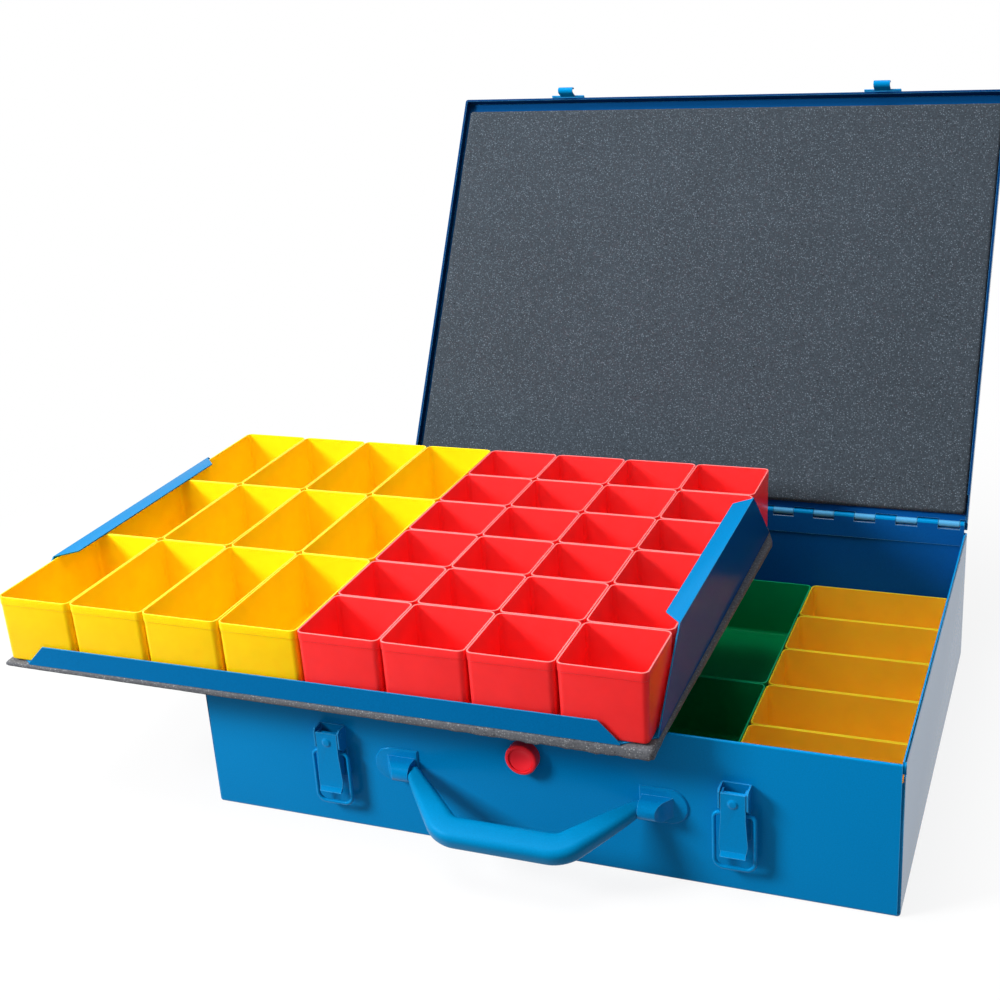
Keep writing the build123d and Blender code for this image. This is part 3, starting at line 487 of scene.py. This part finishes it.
def foam_slab(name, corners, under, over, steps, wander, edge, material, settle):
    """Closed slab over four corners (front left, then anticlockwise) between two heights.

    Its gridded skin wanders a little, its edges are pressed in, and settle moves each point last.
    """
    front_left, front_right, back_right, back_left = [Vector(corner).to_2d() for corner in corners]
    size = ((front_right - front_left).length, (back_left - front_left).length, over - under)
    counts = [max(2, round(length / step)) for length, step in zip(size, steps)]
    noise.seed_set(SKIN_SEED)
    form = bmesh.new()
    made = {}

    def vertex(*key):
        if key in made:
            return made[key]
        u, v, w = [n / count for n, count in zip(key, counts)]
        flat = (front_left.lerp(front_right, u)).lerp(back_left.lerp(back_right, u), v)
        at = Vector((flat.x, flat.y, under + w * size[2]))
        inward = [1 if share < 0.5 else -1 for share in (u, v, w)]
        near = [max(0.0, 1 - min(share, 1 - share) * length / edge)
                for share, length in zip((u, v, w), size)]
        pressed = edge * FOAM_PRESSED * (near[0] * near[1] + near[1] * near[2] + near[2] * near[0])
        for axis in range(3):
            if near[axis] > ON_SKIN:
                at[axis] += inward[axis] * (pressed + (wander if axis < 2 else 0.0))
        uneven = noise.noise_vector(at / SKIN_FINE) + noise.noise_vector(at / SKIN_BROAD)
        at += uneven * wander * SKIN_SHARE
        at.z = min(max(at.z, under), over)
        made[key] = form.verts.new(settle(at))
        return made[key]

    for side in range(3):
        across, up = (side + 1) % 3, (side + 2) % 3
        for end in (0, counts[side]):
            for i in range(counts[across]):
                for j in range(counts[up]):
                    keys = []
                    for di, dj in ((0, 0), (1, 0), (1, 1), (0, 1)):
                        key = [0, 0, 0]
                        key[side] = end
                        key[across] = i + di
                        key[up] = j + dj
                        keys.append(tuple(key))
                    if end == 0:
                        keys.reverse()
                    form.faces.new([vertex(*key) for key in keys])
    mesh = bpy.data.meshes.new(name)
    form.to_mesh(mesh)
    form.free()
    mesh.materials.append(material)
    return mesh


def over_hinge_leaf(point):
    """The pad gives way where it laps over the hinge's leaf."""
    if point.y > hinge_at.y - LEAF_REACH:
        point.z = min(point.z, pad_high.z - LEAF_UNDER)
    return point


dark_foam = foam("dark_open_cell_foam", FOAM_HEX, FOAM_PORE_SHADE_HEX, FOAM_FLECK_HEX)
closed = [open_lid.inverted() @ vertex.co for vertex in frame["nodes"]["lid_foam_pad"].data.vertices]
pad_low = Vector([min(point[axis] for point in closed) for axis in range(3)])
pad_high = Vector([max(point[axis] for point in closed) for axis in range(3)])
pad_high.y -= FOAM_SHORT
pad_low.x -= FOAM_WIDER
pad_corners = [(pad_low.x, pad_low.y), (pad_high.x, pad_low.y),
               (pad_high.x, pad_high.y), (pad_low.x, pad_high.y)]
pad_mesh = foam_slab("lid_foam", pad_corners, pad_low.z, pad_high.z, (FOAM_STEP, FOAM_STEP, FOAM_STEP),
                     FOAM_ROUGH, FOAM_EDGE, dark_foam, over_hinge_leaf)
pad_mesh.transform(open_lid)
lid_foam = finished("lid_foam", pad_mesh, "lid", ["lid_foam_pad"], smooth=180)


# ---------------------------------------------------------------------------------------------
# Draw latches: a base plate with ears, a lever on a pin between them, and a loop of bent wire that
# catches a hooked keeper on the lid. All but the pin and the wire is pressed from 1 mm strip, and
# everything is enamelled with the case.
# ---------------------------------------------------------------------------------------------
LEVER_EDGE = 0.4 * MM

for side in ("left", "right"):
    dressed("lid_keeper_" + side, "lid", blue_enamel)
    dressed("latch_base_" + side, "case", blue_enamel)
    dressed("latch_pin_" + side, "case", blue_enamel)
    dressed("latch_lever_" + side, "latch_lever_" + side, blue_enamel, edge=LEVER_EDGE)
    dressed("latch_bail_" + side, "latch_bail_" + side, blue_enamel, edge=0)


# ---------------------------------------------------------------------------------------------
# Carrying handle: one plastic moulding in the case's blue, a flat grip with a bent arm at each end.
# A pin at the foot of each arm turns in the hollow nose of a pressed steel bracket on the front.
# ---------------------------------------------------------------------------------------------
HANDLE_DROP = radians(20)    # it hangs this far below level
GRIP_REACH = 37.4 * MM       # pins to the middle of the grip
GRIP_CORNER = 36.0 * MM      # where the grip's middle line meets the arms'
GRIP_BEND_R = 17.0 * MM
GRIP_SIZE = (8.8 * MM, 6.6 * MM)     # half width, half thickness
GRIP_ROUND = 0.75            # corners, as a share of the half thickness
ARM_ROOT = 71.5 * MM         # where the arm leaves the pin, from the middle
ARM_HALF = (4.2 * MM, 3.9 * MM)      # half width, half thickness there
ARM_SWELL = 0.8              # how soon the arm grows to the grip's size, 1 being evenly
ARM_LEAN = 0.7               # how far its first ring leans, as a share of the arm's own lean
ARM_LEAN_OVER = 4            # and it leans fully after one part in this many of its length
SHOULDER = 0.8 * MM          # ring between pin and arm: its place, lean and roundness
SHOULDER_LEAN = 0.35
SHOULDER_ROUND = 0.9
PIN_ROUND = 0.99             # the pin's section is as good as round
STUB_R = 4.0 * MM
STUB_START = 2.5 * MM        # the pin's inner end, past the arm's root
STUB_END = 81.5 * MM
STUB_EDGE = 0.5 * MM
HANDLE_STEPS = 10            # rings along an arm, and round a bend
CORNER_STEPS = 6
BRACKET_EDGE = 0.3 * MM

# Moulded plastic in the case's blue, duller than the enamel.
moulded_blue = enamel("moulded_blue_plastic", "#0080B8", "#007AB0", 0.42)


def round_rectangle(half_x, half_y, radius):
    """Points of a rectangle with round corners, anticlockwise."""
    points = []
    for quarter, (sx, sy) in enumerate([(1, 1), (-1, 1), (-1, -1), (1, -1)]):
        for step in range(CORNER_STEPS + 1):
            angle = (quarter + step / CORNER_STEPS) * pi / 2
            points.append((sx * (half_x - radius) + radius * cos(angle),
                           sy * (half_y - radius) + radius * sin(angle)))
    return points


def handle_rings():
    """(x, reach, turn, half width, half thickness, corner) from the right stub's end to the middle."""
    lean = atan2(GRIP_REACH, ARM_ROOT - GRIP_CORNER)
    rings = [(STUB_END, 0.0, 0.0, STUB_R - STUB_EDGE, STUB_R - STUB_EDGE, PIN_ROUND),
             (STUB_END - STUB_EDGE, 0.0, 0.0, STUB_R, STUB_R, PIN_ROUND),
             (ARM_ROOT + STUB_START, 0.0, 0.0, STUB_R, STUB_R, PIN_ROUND),
             (ARM_ROOT + SHOULDER, 0.0, lean * SHOULDER_LEAN, ARM_HALF[0], ARM_HALF[1], SHOULDER_ROUND)]
    bend_start = GRIP_BEND_R * tan(lean / 2)
    arm = Vector((GRIP_CORNER - ARM_ROOT, GRIP_REACH))
    for step in range(HANDLE_STEPS + 1):
        share = step / HANDLE_STEPS
        at = Vector((ARM_ROOT, 0)) + arm * share * (1 - bend_start / arm.length)
        half = [thin_or_edge_highlight + (full - thin_or_edge_highlight) * share ** ARM_SWELL for thin_or_edge_highlight, full in zip(ARM_HALF, GRIP_SIZE)]
        turn = lean * (ARM_LEAN + (1 - ARM_LEAN) * min(1.0, share * ARM_LEAN_OVER))
        rings.append((at.x, at.y, turn, half[0], half[1], GRIP_ROUND))
    centre = Vector((GRIP_CORNER - bend_start, GRIP_REACH - GRIP_BEND_R))
    for step in range(1, HANDLE_STEPS + 1):
        turn = lean * (1 - step / HANDLE_STEPS)
        rings.append((centre.x + GRIP_BEND_R * sin(turn), centre.y + GRIP_BEND_R * cos(turn), turn,
                      GRIP_SIZE[0], GRIP_SIZE[1], GRIP_ROUND))
    return rings


def swept_handle(handle_at):
    """Skin over the rings and their mirror image, hanging from the pins' middle handle_at."""
    form = bmesh.new()
    half = handle_rings()
    whole = half + [(-x, reach, -turn, wide, thick, corner)
                    for x, reach, turn, wide, thick, corner in half[::-1]]
    out = Vector((0, -cos(HANDLE_DROP), -sin(HANDLE_DROP)))
    over = Vector((0, -sin(HANDLE_DROP), cos(HANDLE_DROP)))
    loops = []
    for x, reach, turn, wide, thick, corner in whole:
        across = Vector((sin(turn), 0, 0)) + out * cos(turn)
        middle = handle_at + Vector((x, 0, 0)) + out * reach
        loops.append([form.verts.new(middle + across * a + over * b)
                      for a, b in round_rectangle(wide, thick, corner * min(wide, thick))])
    for first, second in zip(loops, loops[1:]):
        for i, vert in enumerate(first):
            after = (i + 1) % len(first)
            form.faces.new([vert, first[after], second[after], second[i]])
    form.faces.new(loops[0][::-1])
    form.faces.new(loops[-1])
    bmesh.ops.recalc_face_normals(form, faces=form.faces)
    mesh = bpy.data.meshes.new("handle")
    form.to_mesh(mesh)
    form.free()
    mesh.materials.append(moulded_blue)
    return mesh


handle_joint = next(joint for joint in frame["joints"] if joint["name"] == "handle_swing")
pins_middle = Vector(handle_joint["pos_m"])
pins_middle.x = 0.0
finished("handle_moulded", swept_handle(pins_middle), "handle", ["handle"], smooth=50)
for side in ("left", "right"):
    dressed("handle_bracket_" + side, "case", blue_enamel, edge=BRACKET_EDGE)


# ---------------------------------------------------------------------------------------------
# Push button: a dished button of red plastic in a collar of the same, which has a spigot through
# the front. A spring in the collar pushes it out, and a clip on its stem holds it inside the wall.
# ---------------------------------------------------------------------------------------------
BUTTON_HEX = "#FF2C38"
BEZEL_EDGE = 0.3 * MM
BUTTON_EDGE = 0.2 * MM
CLIP_EDGE = 0.1 * MM
STEEL_HEX = "#B9BBBD"
STEEL_ROUGHNESS = 0.32
STYRENE_IOR = 1.59
STYRENE_GLOSS = 0.3
FLOW_MARK = 14 * MM          # size of the faint flow marks, and their change of shade
FLOW_TONE = (0.97, 1.03)
SKIN_RIPPLE = 6 * MM
SKIN_RIPPLE_DEPTH = 0.02 * MM
GLOW_REACH = 3 * MM          # how far light spreads in the plastic


def moulded(name, hex_colour, roughness, glow=0.0):
    """Injection moulded polystyrene: even colour, satin skin with faint flow marks."""
    made, tree = blank_material(name)
    flow = add_node(tree, "ShaderNodeMapRange",
                    {"Value": noise_at(tree, FLOW_MARK), "From Min": NOISE_LOW, "From Max": NOISE_HIGH,
                     "To Min": FLOW_TONE[0], "To Max": FLOW_TONE[1]})
    colour = add_node(tree, "ShaderNodeVectorMath", {0: linear(hex_colour)[:3], 1: flow.outputs[0]},
                      operation="MULTIPLY")
    bump = add_node(tree, "ShaderNodeBump",
                    {"Height": noise_at(tree, SKIN_RIPPLE, 2.0, 0.2), "Strength": 1.0,
                     "Distance": SKIN_RIPPLE_DEPTH})
    shader = add_node(tree, "ShaderNodeBsdfPrincipled",
                      {"Base Color": colour.outputs[0], "Roughness": roughness, "IOR": STYRENE_IOR,
                       "Specular IOR Level": STYRENE_GLOSS, "Specular Tint": linear(hex_colour),
                       "Subsurface Weight": glow, "Subsurface Scale": GLOW_REACH,
                       "Normal": bump.outputs[0]})
    add_node(tree, "ShaderNodeOutputMaterial", {"Surface": shader.outputs[0]})
    return made


# A hard, glossy red that lets no light through.
button_red = moulded("button_red_plastic", BUTTON_HEX, 0.3)
dressed("button_bezel", "case", button_red, edge=BEZEL_EDGE)
dressed("push_button", "push_button", button_red, edge=BUTTON_EDGE)

# Bare drawn steel of the clip and the spring: grey metal with a soft shine.
spring_steel, tree = blank_material("spring_steel")
steel = add_node(tree, "ShaderNodeBsdfPrincipled",
                 {"Base Color": linear(STEEL_HEX), "Metallic": 1.0, "Roughness": STEEL_ROUGHNESS})
add_node(tree, "ShaderNodeOutputMaterial", {"Surface": steel.outputs[0]})
dressed("button_clip", "push_button", spring_steel, edge=CLIP_EDGE)
spring = dressed("button_spring", "case", spring_steel, edge=0)
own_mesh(spring)


# ---------------------------------------------------------------------------------------------
# Tray: a pan folded from steel sheet, with low flanges along the front and back and a lip over the
# boxes at each end, enamelled as the case is. A mat of grey foam, cut by hand, lies under it.
# ---------------------------------------------------------------------------------------------
# The tray's own coat is a shade duller than the case's. As painted shade, its front flange is drawn
# deeper, and the right end plate under its lip deepest.
tray_enamel = enamel("tray_blue_enamel", "#0080BE", "#0078B4", 0.26, 0.08)
shaded_plate_enamel = enamel("tray_end_painted_shade", INNER_SHADE_HEX, INNER_SHADE_DEEP_HEX, 0.26, 0.03)
shaded_flange_enamel = enamel("tray_flange_painted_shade", "#006CA8", "#0066A0", 0.3, 0.1)


def end_plate(points, normal):
    """Outside of the tray's right end plate."""
    return normal.x > SQUARE_ON


def front_flange(points, normal):
    """Outside of the tray's front flange."""
    return normal.y < -SQUARE_ON


dressed("tray_pan", "tray", tray_enamel,
        others=[(shaded_plate_enamel, end_plate), (shaded_flange_enamel, front_flange)])
MAT_STEP = 3.0 * MM          # mesh spacing along and across, then in its thickness
MAT_LAYER = 1.3 * MM
MAT_ROUGH = 0.25 * MM
MAT_EDGE = 1.2 * MM
MAT_SAG = 4.0 * MM           # how far the mat's free front edge hangs at the right corner
MAT_SAG_ALONG = 4            # and how fast that fades to the left, as a power
MAT_TORN = (6 * MM, 9 * MM)  # size of the tatters there, along and across
MAT_TORN_SHARE = (0.55, 0.6) # how far it hangs at the least, and how much the tatters add
MAT_THIN = 2.2 * MM          # how much thinner it is at its free left end
MAT_LEFT_FREE = 0.3          # share of that behind the free front strip
MAT_FREE = -0.168            # in front of this nothing is under the mat
MAT_FREE_OVER = 25 * MM      # length over which it starts to hang

# The mat is the same kind of foam in a lighter grey.
grey_foam = foam("grey_open_cell_foam", "#606267", "#3E4044", "#A2A4A6")
mat_points = [vertex.co.copy() for vertex in frame["nodes"]["tray_foam_mat"].data.vertices]
mat_corners = [max(mat_points, key=lambda point: sx * point.x + sy * point.y)
               for sx, sy in ((-1, -1), (1, -1), (1, 1), (-1, 1))]
mat_low, mat_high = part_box("tray_foam_mat")
cut_from = max(mat_points, key=lambda point: point.x)
cut_to = mat_corners[2]
mat_corners[2] = mat_high


def hanging_front(point):
    """The mat ends at its cut corner, hangs in tatters in front, and thins to the left."""
    cut = min(max((point.y - cut_from.y) / (cut_to.y - cut_from.y), 0.0), 1.0)
    point.x = min(point.x, cut_from.x + (cut_to.x - cut_from.x) * cut)
    free = min(max((MAT_FREE - point.y) / MAT_FREE_OVER, 0.0), 1.0)
    along = min(max((point.x - mat_low.x) / (mat_high.x - mat_low.x), 0.0), 1.0)
    torn = 0.5 + noise.noise(Vector((point.x / MAT_TORN[0], point.y / MAT_TORN[1], 0.0)))
    hung = MAT_TORN_SHARE[0] + MAT_TORN_SHARE[1] * torn
    depth = (mat_high.z - point.z) / (mat_high.z - mat_low.z)
    point.z -= MAT_SAG * free * along ** MAT_SAG_ALONG * hung * depth
    point.z += MAT_THIN * min(1.0, free + MAT_LEFT_FREE) * (1 - along) ** 2 * depth
    return point


mat_mesh = foam_slab("tray_mat", mat_corners, mat_low.z, mat_high.z, (MAT_STEP, MAT_STEP, MAT_LAYER),
                     MAT_ROUGH, MAT_EDGE, grey_foam, hanging_front)
tray_mat = finished("tray_mat", mat_mesh, "tray", ["tray_foam_mat"], smooth=180)


# ---------------------------------------------------------------------------------------------
# Insert boxes: injection moulded polystyrene on a 54 mm grid, with draft, round corners, a proud
# collar at the rim and rounded feet. They sit side by side with a hair of play.
# ---------------------------------------------------------------------------------------------
CELL = 54 * MM
BOX_GAP = 0.4 * MM
BOX_HEIGHT = 45 * MM
BOX_WALL = 1.1 * MM
BOX_FLOOR = 1.2 * MM
BOX_DRAFT = 0.65 * MM        # each wall leans in by this from rim to foot
RIM_RADIUS = 4.5 * MM        # corner radius at the rim
LEAST_RADIUS = 1.2 * MM
COLLAR_HEIGHT = 5.5 * MM
COLLAR_PROUD = 0.3 * MM
LIP_ROUND = 0.35 * MM
LIP_MIDDLE = 0.3             # the lip's rounding passes this share of it from both of its sides
LIP_BAND = 1.2               # faces down to this many roundings below the rim are the lip
FOOT_ROUND = 1.5 * MM
FOOT_STEPS = 3
INSIDE_ROUND = 3.0 * MM
INSIDE_STEPS = 4
BOX_PLAY = 0.1 * MM
BOX_TWIST = radians(0.2)
TRAY_TURN = radians(0.5)     # the parked tray lies this much askew

# Polystyrene glows a little where light goes through its thin walls. Each colour has a paler,
# glossier one for its lip: the paler colour is a painted highlight.
GLOW = 0.35                  # share of light that goes into the plastic before it comes back
yellow_styrene = moulded("yellow_polystyrene", "#FFD010", 0.34, GLOW)
highlit_yellow_lip = moulded("yellow_polystyrene_lip_painted_highlight", "#FFE02C", 0.2, GLOW)
deep_yellow_styrene = moulded("deep_yellow_polystyrene", "#FFC42C", 0.34, GLOW)
red_styrene = moulded("red_polystyrene", "#FC3436", 0.3, GLOW)
highlit_red_lip = moulded("red_polystyrene_lip_painted_highlight", "#FF8080", 0.2, GLOW)
green_styrene = moulded("green_polystyrene", "#008C50", 0.32, GLOW)
highlit_green_lip = moulded("green_polystyrene_lip_painted_highlight", "#18B478", 0.2, GLOW)


def box_profile():
    """(inset from the rim's outside, height from the rim) from the floor inside to the foot outside."""
    def lean(z):
        """Inset of the drafted wall's outside at a height."""
        return BOX_DRAFT * -z / BOX_HEIGHT

    floor_z = BOX_FLOOR - BOX_HEIGHT
    inside = []
    for step in range(INSIDE_STEPS + 1):
        angle = step / INSIDE_STEPS * pi / 2
        z = floor_z + INSIDE_ROUND * (1 - cos(angle))
        inside.append((BOX_WALL + lean(floor_z) + INSIDE_ROUND * (1 - sin(angle)), z))
    middle = LIP_MIDDLE * LIP_ROUND
    rim = [(BOX_WALL, -LIP_ROUND), (BOX_WALL - middle, -middle), (BOX_WALL - LIP_ROUND, 0.0),
           (LIP_ROUND, 0.0), (middle, -middle), (0.0, -LIP_ROUND)]
    collar = [(lean(-COLLAR_HEIGHT), -COLLAR_HEIGHT),
              (COLLAR_PROUD + lean(-COLLAR_HEIGHT), -COLLAR_HEIGHT - COLLAR_PROUD)]
    foot = []
    for step in range(FOOT_STEPS + 1):
        angle = step / FOOT_STEPS * pi / 2
        z = -BOX_HEIGHT + FOOT_ROUND * (1 - sin(angle))
        foot.append((COLLAR_PROUD + lean(-BOX_HEIGHT) + FOOT_ROUND * (1 - cos(angle)), z))
    return inside + rim + collar + foot


def insert_box(name, cells_x, cells_y):
    """One box with the middle of its rim at the origin."""
    half_x = (cells_x * CELL - BOX_GAP) / 2
    half_y = (cells_y * CELL - BOX_GAP) / 2
    form = bmesh.new()
    lip = form.faces.layers.bool.new("lip")
    rings = []
    for inset, z in box_profile():
        radius = max(RIM_RADIUS - inset, LEAST_RADIUS)
        outline = round_rectangle(half_x - inset, half_y - inset, radius)
        rings.append([form.verts.new((x, y, z)) for x, y in outline])
    for first, second in zip(rings, rings[1:]):
        for i, vert in enumerate(first):
            after = (i + 1) % len(first)
            face = form.faces.new([vert, first[after], second[after], second[i]])
            face[lip] = min(vert.co.z, second[i].co.z) > -LIP_BAND * LIP_ROUND
    form.faces.new(rings[0])
    form.faces.new(rings[-1][::-1])
    bmesh.ops.recalc_face_normals(form, faces=form.faces)
    mesh = bpy.data.meshes.new(name)
    form.to_mesh(mesh)
    form.free()
    return mesh


def rows_of_boxes():
    """Node tree: copies of the box on a grid, each with a little play, set down in their place."""
    tree = bpy.data.node_groups.new("rows_of_boxes", "GeometryNodeTree")
    tree.interface.new_socket("Box", in_out="INPUT", socket_type="NodeSocketGeometry")
    for name, kind in (("Columns", "Int"), ("Rows", "Int"), ("Pitch X", "Float"), ("Pitch Y", "Float"),
                       ("Play", "Float"), ("Twist", "Float"), ("Seed", "Int"), ("Place", "Vector"),
                       ("Turn", "Float"), ("Plastic", "Material"), ("Lip", "Material")):
        tree.interface.new_socket(name, in_out="INPUT", socket_type="NodeSocket" + kind)
    tree.interface.new_socket("Boxes", in_out="OUTPUT", socket_type="NodeSocketGeometry")
    given = add_node(tree, "NodeGroupInput").outputs
    count = add_node(tree, "ShaderNodeMath", {0: given["Columns"], 1: given["Rows"]},
                     operation="MULTIPLY")
    number = add_node(tree, "GeometryNodeInputIndex")
    column = add_node(tree, "ShaderNodeMath", {0: number.outputs[0], 1: given["Columns"]},
                      operation="MODULO")
    row = add_node(tree, "ShaderNodeMath", {0: number.outputs[0], 1: given["Columns"]},
                   operation="DIVIDE")
    row = add_node(tree, "ShaderNodeMath", {0: row.outputs[0]}, operation="FLOOR")
    along = []
    for index, total, pitch in ((column, "Columns", "Pitch X"), (row, "Rows", "Pitch Y")):
        last = add_node(tree, "ShaderNodeMath", {0: given[total], 1: 1.0}, operation="SUBTRACT")
        middle = add_node(tree, "ShaderNodeMath", {0: last.outputs[0], 1: 0.5}, operation="MULTIPLY")
        step = add_node(tree, "ShaderNodeMath", {0: index.outputs[0], 1: middle.outputs[0]},
                        operation="SUBTRACT")
        step = add_node(tree, "ShaderNodeMath", {0: step.outputs[0], 1: given[pitch]},
                        operation="MULTIPLY")
        play = add_node(tree, "ShaderNodeMath", {0: given["Play"], 1: -1.0}, operation="MULTIPLY")
        seed = add_node(tree, "ShaderNodeMath", {0: given["Seed"], 1: len(along)}, operation="ADD")
        shift = add_node(tree, "FunctionNodeRandomValue",
                         {2: play.outputs[0], 3: given["Play"], "Seed": seed.outputs[0]},
                         data_type="FLOAT")
        along.append(add_node(tree, "ShaderNodeMath", {0: step.outputs[0], 1: shift.outputs[1]},
                              operation="ADD"))
    at = add_node(tree, "ShaderNodeCombineXYZ", {0: along[0].outputs[0], 1: along[1].outputs[0]})
    places = add_node(tree, "GeometryNodePoints", {"Count": count.outputs[0], "Position": at.outputs[0]})
    back = add_node(tree, "ShaderNodeMath", {0: given["Twist"], 1: -1.0}, operation="MULTIPLY")
    twist = add_node(tree, "FunctionNodeRandomValue",
                     {2: back.outputs[0], 3: given["Twist"], "Seed": given["Seed"]}, data_type="FLOAT")
    turned = add_node(tree, "ShaderNodeCombineXYZ", {2: twist.outputs[1]})
    copies = add_node(tree, "GeometryNodeInstanceOnPoints",
                      {"Points": places.outputs[0], "Instance": given["Box"],
                       "Rotation": turned.outputs[0]})
    real = add_node(tree, "GeometryNodeRealizeInstances", {0: copies.outputs[0]})
    askew = add_node(tree, "ShaderNodeCombineXYZ", {2: given["Turn"]})
    placed = add_node(tree, "GeometryNodeTransform",
                      {"Geometry": real.outputs[0], "Translation": given["Place"],
                       "Rotation": askew.outputs[0]})
    coloured = add_node(tree, "GeometryNodeSetMaterial",
                        {"Geometry": placed.outputs[0], "Material": given["Plastic"]})
    at_rim = add_node(tree, "GeometryNodeInputNamedAttribute", {"Name": "lip"}, data_type="BOOLEAN")
    rimmed = add_node(tree, "GeometryNodeSetMaterial",
                      {"Geometry": coloured.outputs[0], "Selection": at_rim.outputs[0],
                       "Material": given["Lip"]})
    add_node(tree, "NodeGroupOutput", {0: rimmed.outputs[0]})
    return tree


boxes_tree = rows_of_boxes()


def plain_mesh(mesh, tree, values, name):
    """The mesh after the node tree, as a plain mesh."""
    carrier = bpy.data.objects.new("carrier", mesh)
    scene.collection.objects.link(carrier)
    modifier = carrier.modifiers.new("rows", "NODES")
    modifier.node_group = tree
    for item in tree.interface.items_tree:
        if item.in_out == "INPUT" and item.name in values:
            modifier[item.identifier] = values[item.name]
    made = bpy.data.meshes.new_from_object(carrier.evaluated_get(bpy.context.evaluated_depsgraph_get()))
    made.name = name
    bpy.data.objects.remove(carrier)
    return made


def place_boxes(node, body, box_mesh, cells, grid, plastic, lip, seed, turn=0.0):
    """A node's boxes: grid is (columns, rows) of boxes that each cover cells (x, y)."""
    low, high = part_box(node)
    place = ((low.x + high.x) / 2, (low.y + high.y) / 2, high.z)
    values = {"Columns": grid[0], "Rows": grid[1], "Pitch X": cells[0] * CELL,
              "Pitch Y": cells[1] * CELL, "Play": BOX_PLAY, "Twist": BOX_TWIST, "Seed": seed,
              "Place": place, "Turn": turn, "Plastic": plastic, "Lip": lip}
    mesh = plain_mesh(box_mesh, boxes_tree, values, node)
    return finished(node + "_moulded", mesh, body, [node], smooth=35)


long_box = insert_box("long_box", 1, 2)
small_box = insert_box("small_box", 1, 1)
wide_box = insert_box("wide_box", 2, 1)
large_box = insert_box("large_box", 2, 3)
for i in range(1, 5):
    body = "tray" if i == 1 else "tray_yellow_boxes"
    place_boxes("tray_boxes_yellow_%d" % i, body, long_box, (1, 2), (1, 3), yellow_styrene, highlit_yellow_lip,
                10 * i, TRAY_TURN)
for i in range(1, 5):
    body = "tray" if i == 4 else "tray_red_boxes"
    place_boxes("tray_boxes_red_%d" % i, body, small_box, (1, 1), (1, 6), red_styrene, highlit_red_lip,
                50 + 10 * i, TRAY_TURN)
for i in range(1, 7):
    place_boxes("lower_box_yellow_%d" % i, "lower_yellow_boxes", wide_box, (2, 1), (1, 1),
                deep_yellow_styrene, highlit_yellow_lip, 100 + 10 * i)
for i in range(1, 7):
    place_boxes("lower_box_green_%d" % i, "case", large_box, (2, 3), (1, 1), green_styrene, highlit_green_lip,
                200 + 10 * i)

bpy.context.view_layer.update()
